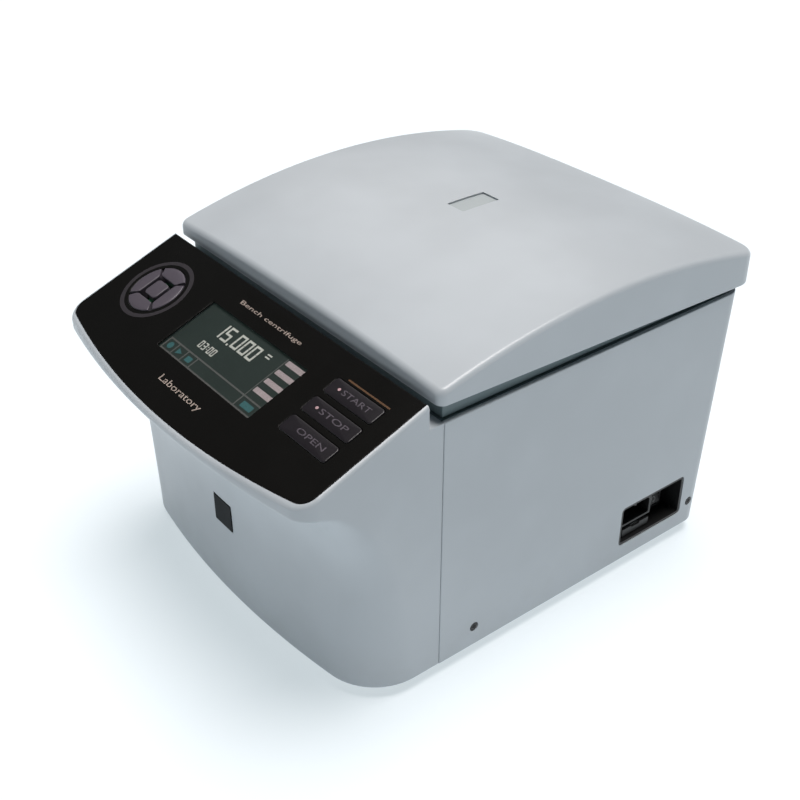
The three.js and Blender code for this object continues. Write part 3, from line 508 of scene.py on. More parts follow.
@dataclass(frozen=True)
class Box:
    """A box in millimetres."""

    lo: Vector
    hi: Vector

    @classmethod
    def of(cls, node: str) -> "Box":
        """The box of a node of the frame."""
        lo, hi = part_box(node)
        return cls(Vector(lo) / MM, Vector(hi) / MM)

    @property
    def centre(self) -> Vector:
        """The middle of the box."""
        return (self.lo + self.hi) / 2

    @property
    def size(self) -> Vector:
        """Its width, depth and height."""
        return self.hi - self.lo


@dataclass
class Shape:
    """Points in millimetres and the faces over them."""

    points: list[Vector] = field(default_factory=list)
    faces: list[tuple[int, ...]] = field(default_factory=list)

    def moved(self, matrix: Matrix) -> "Shape":
        """The same shape, placed by a matrix in millimetres."""
        return Shape([matrix @ p for p in self.points], list(self.faces))

    def joined(self, *others: "Shape") -> "Shape":
        """This shape and others as one."""
        whole = Shape(list(self.points), list(self.faces))
        for other in others:
            start = len(whole.points)
            whole.points += other.points
            whole.faces += [tuple(i + start for i in f) for f in other.faces]
        return whole

    @staticmethod
    def block(lo: Sequence[float], hi: Sequence[float]) -> "Shape":
        """A plain block, used as a cutter or as the start of a rounded one."""
        (x0, y0, z0), (x1, y1, z1) = lo, hi
        points = [Vector((x, y, z)) for z in (z0, z1) for x, y in ((x0, y0), (x1, y0), (x1, y1), (x0, y1))]
        faces = [(3, 2, 1, 0), (4, 5, 6, 7)] + [(i, (i + 1) % 4, (i + 1) % 4 + 4, i + 4) for i in range(4)]
        return Shape(points, faces)

    @staticmethod
    def lofted(rings: Sequence[Sequence[Vector]], capped: bool = True, looped: bool = False) -> "Shape":
        """A skin over closed rings of the same number of points.

        Args:
            rings: rings in order, each anticlockwise as seen from where the next one lies.
            capped: closes the first and the last ring.
            looped: joins the last ring to the first.

        Returns:
            The skin.
        """
        count = len(rings[0])
        points = [p for ring in rings for p in ring]
        levels = len(rings)
        faces = []
        for level in range(levels if looped else levels - 1):
            above = (level + 1) % levels
            for i in range(count):
                j = (i + 1) % count
                faces.append((level * count + i, level * count + j, above * count + j, above * count + i))
        if capped and not looped:
            faces.append(tuple(range(count - 1, -1, -1)))
            faces.append(tuple(range((levels - 1) * count, levels * count)))
        return Shape(points, faces)

    @staticmethod
    def prism(outline: Sequence[Point2], low: float, high: float) -> "Shape":
        """An outline, anticlockwise from above, pulled straight up."""
        return Shape.lofted([[Vector((x, y, z)) for x, y in outline] for z in (low, high)])

    @staticmethod
    def turned(profile: Sequence[Point2], sides: int = 96, centre: Point2 = (0, 0)) -> "Shape":
        """A closed profile of (radius, height), anticlockwise, turned about an upright axis.

        Args:
            profile: the profile; points at radius 0 close the piece on its axis.
            sides: steps round the axis.
            centre: the axis in plan.

        Returns:
            The turned skin.
        """
        rings = []
        for i in range(sides):
            angle = 2 * math.pi * i / sides
            rings.append([Vector((centre[0] + r * math.cos(angle), centre[1] + r * math.sin(angle), z))
                          for r, z in profile])
        return Shape.lofted(rings, capped=False, looped=True)

    def mesh(self, name: str) -> bpy.types.Object:
        """A Blender object in metres, with faces turned outwards and points welded."""
        data = bpy.data.meshes.new(name)
        data.from_pydata([p * MM for p in self.points], [], self.faces)
        made = bpy.data.objects.new(name, data)
        bpy.context.scene.collection.objects.link(made)
        clean(data)
        return made


def clean(data: bpy.types.Mesh) -> None:
    """Welds a mesh's points, drops edges without faces and turns its faces outwards."""
    work = bmesh.new()
    work.from_mesh(data)
    bmesh.ops.remove_doubles(work, verts=work.verts, dist=1e-3 * MM)
    bmesh.ops.delete(work, geom=[e for e in work.edges if not e.link_faces], context="EDGES")
    bmesh.ops.recalc_face_normals(work, faces=work.faces)
    work.to_mesh(data)
    work.free()


def arc(centre: Point2, radius: float, start: float, end: float, steps: int) -> list[Point2]:
    """Points on an arc, its angles in degrees."""
    angles = (math.radians(start + (end - start) * i / steps) for i in range(steps + 1))
    return [(centre[0] + radius * math.cos(a), centre[1] + radius * math.sin(a)) for a in angles]


def ring(centre: Point2, radius: float, sides: int) -> list[Point2]:
    """A whole circle."""
    return arc(centre, radius, 0, 360, sides)[:-1]


def oblong(x0: float, x1: float, y0: float, y1: float) -> list[Point2]:
    """A rectangle."""
    return [(x0, y0), (x1, y0), (x1, y1), (x0, y1)]


def rounded_outline(x0: float, x1: float, y0: float, y1: float, front: float, rear: float,
                    corner: int = 8, along: int = 1, across: int = 1) -> list[Point2]:
    """A rounded rectangle in plan, anticlockwise from its front right corner.

    Args:
        x0: left side.
        x1: right side.
        y0: front side.
        y1: rear side.
        front: radius of the two front corners.
        rear: radius of the two rear corners.
        corner: steps round a corner.
        along: steps on the left and right sides.
        across: steps on the front and rear sides.

    Returns:
        The outline; its number of points depends only on the steps.
    """
    corners = [arc((x1 - front, y0 + front), front, 270, 360, corner),
               arc((x1 - rear, y1 - rear), rear, 0, 90, corner),
               arc((x0 + rear, y1 - rear), rear, 90, 180, corner),
               arc((x0 + front, y0 + front), front, 180, 270, corner)]
    outline: list[Point2] = []
    for i, turn in enumerate(corners):
        start, end = turn[-1], corners[(i + 1) % 4][0]
        steps = along if i % 2 == 0 else across
        outline += turn
        outline += [(start[0] + (end[0] - start[0]) * k / steps, start[1] + (end[1] - start[1]) * k / steps)
                    for k in range(1, steps)]
    return outline


def bowed_outline(half: float, back_y: float, side_y: float, bow: float, radius: float,
                  front_steps: int = 40, corner_steps: int = 14, edge: float = 0.0,
                  knee: float = 9.0) -> list[Point2]:
    """A plan with a straight back, a bowed front and rounded front corners, anticlockwise.

    Args:
        half: half the width.
        back_y: the back edge.
        side_y: the front, taken out to the sides.
        bow: how far the middle of the front stands ahead of that.
        radius: radius of the front corners.
        front_steps: steps across the front.
        corner_steps: steps round a corner.
        edge: chamfer of the two back corners.
        knee: distance from the back edge to a point on each side, where a slope may start.

    Returns:
        The outline.
    """
    def front(x: float) -> float:
        """The front's place at a distance from the middle."""
        return side_y - bow * (1 - (x / half) ** 2)

    corner_x, tilt = half - radius, 0.0
    for _ in range(5):
        tilt = math.atan(2 * bow * corner_x / half ** 2)
        corner_x = half - radius + radius * math.sin(tilt)
    centre = (half - radius, front(corner_x) + radius * math.cos(tilt))
    right = [(half - edge, back_y), (half, back_y - edge), (half, back_y - knee)]
    right += arc(centre, radius, 0, math.degrees(tilt) - 90, corner_steps)
    middle = [(corner_x * (1 - 2 * i / front_steps), front(corner_x * (1 - 2 * i / front_steps)))
              for i in range(1, front_steps)]
    left = [(-x, y) for x, y in reversed(right)]
    return (right + middle + left)[::-1]


def fillet(radius: float, steps: int = 5) -> list[Point2]:
    """Steps round an edge from upright to flat, as (inset, drop) pairs."""
    angles = (math.pi / 2 * i / steps for i in range(steps + 1))
    return [(radius * (1 - math.cos(a)), radius * (1 - math.sin(a))) for a in angles]


def rebuilt(item: bpy.types.Object) -> None:
    """Takes an object's modifiers into its mesh."""
    graph = bpy.context.evaluated_depsgraph_get()
    data = bpy.data.meshes.new_from_object(item.evaluated_get(graph))
    item.modifiers.clear()
    item.data = data


def carve(item: bpy.types.Object, *cutters: Shape) -> bpy.types.Object:
    """Cuts solids out of an object.

    Args:
        item: the object to cut.
        cutters: closed shapes in millimetres.

    Returns:
        The object.
    """
    for cutter in cutters:
        tool = cutter.mesh("cutter")
        step = item.modifiers.new("cut", "BOOLEAN")
        step.operation = "DIFFERENCE"
        step.solver = "EXACT"
        step.use_self = True
        step.object = tool
        rebuilt(item)
        bpy.data.objects.remove(tool)
    return item


def soften(item: bpy.types.Object, width: float, segments: int = 2) -> bpy.types.Object:
    """Rounds an object's sharp edges.

    Args:
        item: the object.
        width: radius in millimetres.
        segments: steps round an edge.

    Returns:
        The object.
    """
    step = item.modifiers.new("round", "BEVEL")
    step.width = width * MM
    step.segments = segments
    step.limit_method = "ANGLE"
    step.angle_limit = math.radians(SHARP_DEGREES)
    step.use_clamp_overlap = True
    rebuilt(item)
    return item


def solid_of(curve: bpy.types.Curve, place: Callable[[bpy.types.Mesh], Matrix]) -> bpy.types.Object:
    """Turns a curve into a mesh object and removes the curve.

    Args:
        curve: the curve, in millimetres.
        place: gives the matrix, in millimetres, for the mesh as drawn.

    Returns:
        The object.
    """
    source = bpy.data.objects.new(curve.name, curve)
    bpy.context.scene.collection.objects.link(source)
    graph = bpy.context.evaluated_depsgraph_get()
    data = bpy.data.meshes.new_from_object(source.evaluated_get(graph))
    bpy.data.objects.remove(source)
    data.transform(Matrix.Scale(MM, 4) @ place(data))
    made = bpy.data.objects.new(curve.name, data)
    bpy.data.curves.remove(curve)
    bpy.context.scene.collection.objects.link(made)
    clean(data)
    return made


def plate(name: str, outlines: Sequence[Sequence[Point2]], low: float, high: float, edge: float,
          matrix: Matrix | None = None) -> bpy.types.Object:
    """A flat plate with holes and rounded edges.

    Args:
        name: the object's name.
        outlines: the outer outline, then the holes.
        low: height of its underside.
        high: height of its face.
        edge: radius of its edges.
        matrix: where it is placed, in millimetres.

    Returns:
        The plate.
    """
    curve = bpy.data.curves.new(name, "CURVE")
    curve.dimensions = "2D"
    curve.fill_mode = "BOTH"
    curve.extrude = (high - low) / 2 - edge
    curve.bevel_depth = edge
    curve.bevel_resolution = 2
    curve.offset = -edge
    for outline in outlines:
        spline = curve.splines.new("POLY")
        spline.points.add(len(outline) - 1)
        for point, (x, y) in zip(spline.points, outline):
            point.co = (x, y, 0, 1)
        spline.use_cyclic_u = True
    place = (matrix or Matrix()) @ Matrix.Translation((0, 0, (low + high) / 2))
    return solid_of(curve, lambda data: place)


def lettering(name: str, text: str, middle: Point3, size: Point2, matrix: Matrix) -> bpy.types.Object:
    """A plain word as a thin raised print.

    Args:
        name: the object's name.
        text: the word.
        middle: its middle, with the height of its own middle plane.
        size: its width and height.
        matrix: where the face that it lies on is placed, in millimetres.

    Returns:
        The print.
    """
    curve = bpy.data.curves.new(name, "FONT")
    curve.body = text
    curve.extrude = 0.03
    curve.resolution_u = 3

    def place(data: bpy.types.Mesh) -> Matrix:
        """Centres the word and stretches it to its size."""
        xs = [v.co.x for v in data.vertices]
        ys = [v.co.y for v in data.vertices]
        scale = Matrix.Diagonal((size[0] / (max(xs) - min(xs)), size[1] / (max(ys) - min(ys)), 1, 1))
        centring = Matrix.Translation((-(max(xs) + min(xs)) / 2, -(max(ys) + min(ys)) / 2, 0))
        return matrix @ Matrix.Translation(middle) @ scale @ centring

    return solid_of(curve, place)


@dataclass
class Workshop:
    """Places pieces on the frame and dresses them."""

    frame: dict[str, Any]

    def place(self, item: bpy.types.Object, body: str, finish: Finish, *stands_for: str,
              smooth: float = 32.0) -> bpy.types.Object:
        """Hands a piece over to a body of the frame.

        Args:
            item: the piece, where it belongs.
            body: the body that it moves with.
            finish: what it is made of.
            stands_for: nodes of the frame that it replaces.
            smooth: edges sharper than this many degrees stay crisp.

        Returns:
            The piece.
        """
        item.data.materials.clear()
        item.data.materials.append(finish.material())
        item.data.shade_smooth()
        item.data.set_sharp_from_angle(angle=math.radians(smooth))
        even = item.modifiers.new("even_shading", "WEIGHTED_NORMAL")
        even.keep_sharp = True
        even.weight = 100
        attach(item, body)
        if stands_for:
            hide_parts(*stands_for)
        LOG.info("%s rides on %s in %s", item.name, body, finish.name)
        return item

    def dress(self, finish: Finish, *nodes: str) -> None:
        """Gives nodes of the frame, kept as they are, their finish."""
        for name in nodes:
            node = self.frame["nodes"][name]
            for place in node.material_slots:
                place.material = finish.material()
            if not node.material_slots:
                node.data.materials.append(finish.material())
            LOG.info("%s is dressed in %s", name, finish.name)


# ---- Sub-assemblies -----------------------------------------------------------------------------


@dataclass
class ConsoleFace:
    """The sloping face: its own axes are across, up the slope and out of the face."""

    back: Vector
    slope: float

    @property
    def matrix(self) -> Matrix:
        """From the face's own millimetres to the machine's."""
        return Matrix.Translation(self.back) @ Matrix.Rotation(self.slope, 4, "X")

    def height(self, y: float, below: float = 0.0) -> float:
        """Height of the face, or of a level below it, over a place in plan."""
        rise = (min(y, self.back.y) - self.back.y) * math.tan(self.slope)
        return self.back.z + rise - below / math.cos(self.slope)


@dataclass
class Casing:
    """Front cover, body cover, deck, feet, screws and badge."""

    shop: Workshop
    wall: float = 3.0
    gap: float = 0.3
    step_back: float = 9.2
    slope_degrees: float = 20.8
    wall_side_y: float = -117.5
    lip_side_y: float = -155.3
    bow: float = 13.1
    wall_corner: float = 36.0
    lip_corner: float = 13.0
    flare_low: float = 72.0
    flare_high: float = 149.0
    flare_turn: float = 0.47 * math.pi
    lip_round: float = 2.4
    top_round: float = 2.2
    foot_round: float = 1.6
    rear_corner: float = 12.0
    rear_lean: float = 0.059
    skin_top: float = 4.5
    back_rim: float = -0.8
    badge_fit: float = 0.3
    badge_seat: float = 6.0
    slot_rows: int = 7
    slot_pitch: float = 8.0
    slot_half: Point2 = (25.0, 1.7)
    deck_hole: float = 95.0
    seat_radius: float = 3.1
    hole_radius: float = 1.9
    far: float = 20.0

    def __post_init__(self) -> None:
        """Reads the casing's place from the frame."""
        self.front_box = Box.of("front_cover")
        self.body_box = Box.of("body_cover")
        self.seam = self.body_box.lo.y
        self.half = self.body_box.hi.x
        self.bottom = self.body_box.lo.z
        self.top = self.body_box.hi.z
        self.rear = self.body_box.hi.y
        self.face = ConsoleFace(Vector((0, self.seam - self.step_back, self.front_box.hi.z)),
                                math.radians(self.slope_degrees))

    def plan(self, share: float, height: float, inset: float, back: float, edge: float) -> list[Point2]:
        """The front cover's plan where the flare has gone a share of its way forward."""
        rise = min(max((height - self.bottom) / (self.flare_high - self.bottom), 0.0), 1.0) ** 1.3
        radius = self.wall_corner + (self.lip_corner - self.wall_corner) * rise - inset
        side_y = self.wall_side_y + (self.lip_side_y - self.wall_side_y) * share + inset
        return bowed_outline(self.half - inset, back, side_y, self.bow, radius, edge=edge,
                             knee=self.step_back - self.gap)

    def flare(self, steps: int) -> list[Point2]:
        """The flare as (share forward, height) pairs, ending in the rounded lower edge of the lip."""
        run = self.wall_side_y - self.lip_side_y
        curve = []
        for i in range(steps + 1):
            turn = self.flare_turn * i / steps
            share = (1 - math.cos(turn)) / (1 - math.cos(self.flare_turn))
            rise = math.sin(turn) / math.sin(self.flare_turn)
            if share * run < run - self.lip_round:
                curve.append((share, self.flare_low + (self.flare_high - self.flare_low) * rise))
        near = (1 - self.lip_round / run, self.flare_high - 0.25)
        for i in range(6):
            t = i / 5
            share = near[0] * (1 - t) ** 2 + 2 * t * (1 - t) + t * t
            height = near[1] * (1 - t) ** 2 + 2 * t * (1 - t) * self.flare_high + t * t * (
                self.flare_high + self.lip_round)
            curve.append((share, height))
        return curve

    def flared_rings(self, inset: float, back: float, low: float, edge: float) -> list[list[Vector]]:
        """Rings of the front cover from its lower edge to the lip."""
        def ring(share: float, height: float, more: float = 0.0) -> list[Vector]:
            """One level ring."""
            plan = self.plan(share, height, inset + more, back, edge)
            return [Vector((x, y, height)) for x, y in plan]

        rings = [ring(0, low + drop, more) for more, drop in reversed(fillet(self.foot_round))]
        rings += [ring(0, low + (self.flare_low - low) * i / 4) for i in (1, 2, 3)]
        rings += [ring(share, height + inset) for share, height in self.flare(16)]
        return rings

    def outer_front(self) -> Shape:
        """The outside of the front cover as a solid, up to the console's rounded rim."""
        back = self.seam - self.gap
        edge = 0.35
        rings = self.flared_rings(0, back, self.bottom, edge)
        for inset, drop in fillet(self.top_round, 6) + [(self.top_round + 0.4, 0.0)]:
            plan = self.plan(1, self.flare_high, inset, back, edge)
            rings.append([Vector((x, y, self.face.height(y) - drop)) for x, y in plan])
        skin = Shape.lofted(rings, capped=False)
        count = len(rings[0])
        start = len(skin.points) - count
        skin.faces.append(tuple(range(count - 1, -1, -1)))
        skin.faces.append(tuple(start + i % count for i in range(count - 3, count + 3)))
        skin.faces.append(tuple(start + i for i in range(2, count - 2)))
        return skin

    def inner_front(self, back: float) -> Shape:
        """The hollow of the front cover under the console, from its rear face forward."""
        def ring(share: float, height: float, heights: Callable[[float], float]) -> list[Vector]:
            """One ring with a height for each place."""
            plan = self.plan(share, height, self.wall, back, 0)
            return [Vector((x, y, heights(y))) for x, y in plan]

        rings = [ring(0, z, lambda y, z=z: z) for z in (self.bottom - 5, self.flare_low)]
        for i in range(1, 10):
            turn = self.flare_turn * i / 10
            share = (1 - math.cos(turn)) / (1 - math.cos(self.flare_turn))
            rise = math.sin(turn) / math.sin(self.flare_turn)
            height = self.flare_low + (self.flare_high - self.flare_low) * rise
            rings.append(ring(share, height,
                              lambda y, h=height: min(h + self.wall, self.face.height(y, 2 * self.wall))))
        rings.append(ring(0.97, self.flare_high, lambda y: self.face.height(y, self.skin_top)))
        return Shape.lofted(rings)

    def build_front(self, holes: Iterable[Shape], seat: Shape) -> None:
        """Makes the front cover with its console seat, key holes and badge seat."""
        cover = self.outer_front().mesh("front_cover_moulding")
        reach = self.half + self.far
        back = self.face.back.y + self.back_rim
        behind = Shape.block((-reach, back, self.top), (reach, self.seam + self.far, 260))
        inside = self.half - self.wall - 0.1
        under_step = Shape.block((-inside, back - self.wall - 1, self.bottom - 5),
                                 (inside, self.seam + 12, self.top - self.wall))
        hollows = (self.inner_front(back - self.wall), under_step)
        badge = Box.of("front_badge")
        fit = self.badge_fit
        badge_seat = Shape.block((badge.lo.x - fit, badge.lo.y - self.badge_seat, badge.lo.z - fit),
                                 (badge.hi.x + fit, badge.hi.y + fit, badge.hi.z + fit))
        carve(cover, behind, *hollows, seat, badge_seat, *holes)
        self.shop.place(cover, "base", CASING, "front_cover", smooth=28)

    def leaned(self, x: float, y: float, z: float) -> Vector:
        """A point of the body cover, whose rear leans in towards the bottom."""
        share = max((y - self.seam) / (self.rear - self.seam), 0.0)
        return Vector((x, y - share * (self.top - z) * self.rear_lean, z))

    def wrap(self, inset: float, low: float, high: float, edge: float) -> Shape:
        """The body cover's walls, one closed band round three sides."""
        def band(z: float, trim: float) -> list[Vector]:
            """The band's section at a height."""
            outer_half, outer_rear = self.half - inset - trim, self.rear - inset - trim
            radius = self.rear_corner - inset - trim
            right = [(outer_half - edge, self.seam), (outer_half, self.seam + edge)]
            right += arc((outer_half - radius, outer_rear - radius), radius, 0, 90, 12)
            inner_half, inner_rear = self.half - self.wall + trim, self.rear - self.wall + trim
            inner = arc((inner_half - radius + self.wall, inner_rear - radius + self.wall),
                        max(radius - self.wall, 1), 90, 0, 8) + [(inner_half, self.seam)]
            left_inner = [(-x, y) for x, y in reversed(inner)]
            left = [(-x, y) for x, y in reversed(right)]
            return [self.leaned(x, y, z) for x, y in right + left + left_inner + inner]

        steps = fillet(0.9, 3)
        rings = [band(low + drop, trim) for trim, drop in reversed(steps)]
        rings += [band(high - drop, trim) for trim, drop in steps]
        return Shape.lofted(rings)

    def build_body(self) -> None:
        """Makes the body cover with the mains pocket, the fan slots and the screw seats."""
        cover = self.wrap(0, self.bottom, self.top, 0.35).mesh("body_cover_moulding")
        tray = Box.of("power_entry_tray")
        gap = self.gap
        pocket_plan = rounded_outline(tray.lo.y - gap, tray.hi.y + gap,
                                      tray.lo.z - gap, tray.hi.z + gap, 3, 3, 6)
        pocket = Shape.prism(pocket_plan, self.half - 10, self.half + 10).moved(SIDEWAYS)
        middle = Box.of("fan_frame").centre
        (wide, tall), slots = self.slot_half, []
        for row in range(self.slot_rows):
            z = middle.z + self.slot_pitch * (row - (self.slot_rows - 1) / 2)
            plan = rounded_outline(middle.x - wide, middle.x + wide, z - tall, z + tall, 1.65, 1.65, 5)
            slots.append(Shape.prism(plan, -self.rear - 10, -self.rear + 25).moved(REARWARD))
        carve(cover, pocket, slots[0].joined(*slots[1:]))
        seats = []
        for name in SCREWS:
            box = Box.of(name)
            out = 1 if box.centre.x > 0 else -1
            centre = (box.centre.y, box.centre.z)
            seat = Shape.prism(ring(centre, self.seat_radius, 24), self.half - 1.2, self.half + 4)
            hole = Shape.prism(ring(centre, self.hole_radius, 20), self.half - 2 * self.wall, self.half)
            for tool in (seat, hole):
                seats.append(tool.moved(SIDEWAYS if out > 0 else Matrix.Scale(-1, 4, (1, 0, 0)) @ SIDEWAYS))
        carve(cover, *seats)
        self.shop.place(cover, "base", CASING, "body_cover", smooth=28)

    def build_deck(self) -> None:
        """Makes the deck round the chamber."""
        box = Box.of("top_deck")
        axis = Box.of("chamber_bowl").centre
        bolt = Box.of("lid_striker").centre
        outline = rounded_outline(box.lo.x, box.hi.x, box.lo.y, box.hi.y, 1, 9, 8)
        hole = ring((axis.x, axis.y), self.deck_hole, 96)
        slot = rounded_outline(-6, 6, bolt.y - 8.5, bolt.y + 6.0, 1, 1, 3)
        deck = plate("top_deck_moulding", [outline, hole, slot], box.lo.z, box.hi.z, 0.6)
        self.shop.place(deck, "base", INNER_PAINTED_SHADE, "top_deck")

    def build_small(self) -> None:
        """Makes the feet, the screws and the badge."""
        for name in FEET:
            box = Box.of(name)
            top = self.bottom - self.gap
            profile = [(0, 0.6), (6.4, 0.6)] + arc((8.6, 1.2), 1.2, 200, 300, 4)
            profile += arc((9.8, 2.4), 1.2, -30, 0, 3) + arc((10, top - 1), 1, 0, 90, 4)
            profile += [(3.5, top), (3.5, box.hi.z - 0.6), (2.9, box.hi.z), (0, box.hi.z)]
            foot = Shape.turned(profile, 48, (box.centre.x, box.centre.y)).mesh(f"{name}_rubber")
            self.shop.place(foot, "base", RUBBER, name)
        for name in SCREWS:
            self.build_screw(name)
        box = Box.of("front_badge")
        plan = rounded_outline(box.lo.x, box.hi.x, box.lo.z, box.hi.z, 1, 1, 5)
        badge = plate("front_badge_plate", [plan], -box.hi.y, -box.lo.y, 0.25, REARWARD)
        self.shop.place(badge, "base", BADGE, "front_badge")

    def build_screw(self, name: str) -> None:
        """Makes one pan-head screw with a cross recess."""
        box = Box.of(name)
        out = 1 if box.centre.x > 0 else -1
        reach = max(abs(box.lo.x), abs(box.hi.x))
        start = min(abs(box.lo.x), abs(box.hi.x))
        profile = [(0, start), (1.1, start), (1.5, start + 1), (1.5, reach - 0.8), (2.75, reach - 0.8)]
        profile += arc((2.0, reach - 0.75), 0.75, 0, 90, 4) + [(0, reach)]
        place = Matrix.Translation((0, box.centre.y, box.centre.z)) @ SIDEWAYS
        if out < 0:
            place = Matrix.Scale(-1, 4, (1, 0, 0)) @ place
        screw = Shape.turned(profile, 32).moved(place).mesh(f"{name}_steel")
        cross = [Shape.block((-w, -h, reach - 0.5), (w, h, reach + 2)).moved(place)
                 for w, h in ((1.5, 0.3), (0.3, 1.5))]
        carve(screw, *cross)
        self.shop.place(screw, "base", BLACK, name)

    def build(self, holes: Iterable[Shape], seat: Shape) -> None:
        """Makes the whole casing."""
        self.build_front(holes, seat)
        self.build_body()
        self.build_deck()
        self.build_small()
        self.shop.dress(ZINC, "base_pan")


SIDEWAYS = Matrix(((0, 0, 1, 0), (1, 0, 0, 0), (0, 1, 0, 0), (0, 0, 0, 1)))  # (y, z) pulled along x
REARWARD = Matrix(((1, 0, 0, 0), (0, 0, -1, 0), (0, 1, 0, 0), (0, 0, 0, 1)))  # (x, z) pulled along -y
SCREWS = [f"side_screw_{end}_{side}" for end in ("front", "rear") for side in ("left", "right")]
FEET = [f"foot_{end}_{side}" for end in ("front", "rear") for side in ("left", "right")]


class PadKey(Enum):
    """The four direction keys, by quarter turns from the upper one."""

    UP = 0
    LEFT = 1
    DOWN = 2
    RIGHT = 3


@dataclass
class Console:
    """Overlay, display and keys on the sloping face."""

    shop: Workshop
    face: ConsoleFace
    half: float = 122.7
    back: float = -1.0
    side: float = -79.3
    bow: float = 14.0
    corner: float = 9.0
    thickness: float = 1.2
    recess: float = 1.5
    display_x: Point2 = (-45.0, 50.0)
    display_y: Point2 = (-63.3, -22.5)
    pad: Point2 = (-87.5, -37.5)
    pad_radius: float = 18.0
    pad_middle: float = 12.0
    pad_ring: Point2 = (23.6, 20.8)
    key_x: Point2 = (69.0, 109.0)
    key_height: float = 11.0
    word_size: Point2 = (23.0, 3.4)
    rows: dict[str, float] = field(default_factory=lambda: {"start": -21.5, "stop": -36.5, "open": -51.5})
    proud: float = 0.8
    depth: float = 7.0
    screen: float = -1.9
    bar_x: Point2 = (-44.4, 49.4)
    bar_y: Point2 = (-61.9, -54.7)
    bar_line: float = 1.0
    bar_splits: tuple[float, ...] = (-34.6, -24.7, -14.8, 31.9)
    soft_key_y: float = -25.6
    soft_key_pitch: float = 7.4

    def outline(self, grow: float = 0.0) -> list[Point2]:
        """The overlay's outline on the face."""
        return bowed_outline(self.half + grow, self.back + grow, self.side - grow, self.bow,
                             self.corner + grow, 48, 10)

    def display_outline(self, grow: float, radius: float = 0.8) -> list[Point2]:
        """The display's outline on the face."""
        (x0, x1), (y0, y1) = self.display_x, self.display_y
        return rounded_outline(x0 - grow, x1 + grow, y0 - grow, y1 + grow, radius, radius, 4)

    def pad_outline(self, grow: float) -> list[Point2]:
        """The round hole of the key pad."""
        return ring(self.pad, self.pad_radius + grow, 72)

    def row_outline(self, row: float, grow: float, radius: float = 2.0) -> list[Point2]:
        """The outline of one of the wide keys."""
        tall = self.key_height / 2
        return rounded_outline(self.key_x[0] - grow, self.key_x[1] + grow, row - tall - grow,
                               row + tall + grow, radius + grow, radius + grow, 6)

    def seat(self) -> Shape:
        """What the overlay's seat takes out of the front cover."""
        return Shape.prism(self.outline(0.3), -self.recess, 6).moved(self.face.matrix)

    def holes(self) -> list[Shape]:
        """What the display and the keys take out of the front cover."""
        outlines = [self.display_outline(1.0), self.pad_outline(0.6)]
        outlines += [self.row_outline(row, 0.5) for row in self.rows.values()]
        deep = -(self.depth + 2.5)
        return [Shape.prism(outline, deep, 3).moved(self.face.matrix) for outline in outlines]

    def build_overlay(self) -> None:
        """Makes the overlay and the printing on it."""
        outlines = [self.outline(), self.display_outline(0), self.pad_outline(0.4)]
        outlines += [self.row_outline(row, 0.3) for row in self.rows.values()]
        sheet = plate("control_overlay_film", outlines, -self.thickness, 0, 0.25, self.face.matrix)
        self.shop.place(sheet, "base", MEMBRANE, "control_overlay")
        self.print_on("pad_ring_print", [ring(self.pad, r, 72) for r in self.pad_ring], RING_INK)
        x0, x1 = self.key_x
        top = self.rows["start"] + self.key_height / 2
        stripe = rounded_outline(x0 + 6, x1 + 0.5, top + 1.5, top + 2.5, 0.4, 0.4, 2)
        self.print_on("amber_stripe_print", [stripe], AMBER_INK)
        for name, text, y, size in (("type_print", "Bench centrifuge", -13.2, (60.0, 3.6)),
                                    ("front_print", "Laboratory", -76.6, (42.0, 5.6))):
            word = lettering(name, text, (1.0, y, 0.04), size, self.face.matrix)
            self.shop.place(word, "base", TEXT_INK)

    def print_on(self, name: str, outlines: Sequence[Sequence[Point2]], ink: Finish) -> None:
        """Lays a mark a hair's breadth over the overlay."""
        mark = plate(name, outlines, 0.01, 0.07, 0.02, self.face.matrix)
        self.shop.place(mark, "base", ink)

    def pad_section(self, key: PadKey, grow: float) -> list[Point2]:
        """The outline of a direction key: a ring quarter round the middle key."""
        outer = self.pad_radius + grow
        inner = self.pad_middle / 2 + 2.6 - grow
        slit = 1.1 - grow
        reach = math.degrees(math.asin(slit / outer))
        outline = arc((0, 0), outer, 45 + reach, 135 - reach, 20)
        side = inner + slit * 0.4
        outline += [(-side + 1.2, inner + 0.35), (-side + 2.2, inner)]
        outline += [(side - 2.2, inner), (side - 1.2, inner + 0.35)]
        turn = Matrix.Rotation(key.value * math.pi / 2, 2)
        return [(self.pad[0] + p.x, self.pad[1] + p.y) for p in (turn @ Vector(q) for q in outline)]

    def cap(self, name: str, node: str, sections: Callable[[float], list[Point2]], crown: float,
            finish: Finish = KEY_CAP) -> None:
        """Makes a key cap that draws in and domes towards its face.

        Args:
            name: the piece's name.
            node: the node that it stands for.
            sections: gives the cap's outline, grown by a distance.
            crown: rise of the middle over the edge.
            finish: what it is made of.
        """
        base = sections(0.0)
        centre = Vector((sum(p[0] for p in base) / len(base), sum(p[1] for p in base) / len(base)))
        rings = [[Vector((x, y, z)) for x, y in base] for z in (-self.depth, -1.0)]
        shoulder = self.proud - crown
        for inset, drop in fillet(0.7, 4):
            rings.append([Vector((x, y, shoulder - drop)) for x, y in sections(-inset)])
        rim = sections(-0.7)
        for i in range(1, 6):
            share = i / 5
            rings.append([Vector((centre.x + (x - centre.x) * (1 - 0.98 * share),
                                  centre.y + (y - centre.y) * (1 - 0.98 * share),
                                  shoulder + crown * (1 - (1 - share) ** 2))) for x, y in rim])
        key = Shape.lofted(rings).moved(self.face.matrix).mesh(name)
        body = f"{node.removeprefix('key_')}_key"
        self.shop.place(key, body, finish, node, smooth=40)

    def build_keys(self) -> None:
        """Makes the eight keys and their marks."""
        for key in PadKey:
            node = f"key_{key.name.lower()}"
            self.cap(f"{node}_cap", node, lambda grow, k=key: self.pad_section(k, grow), 0.3)

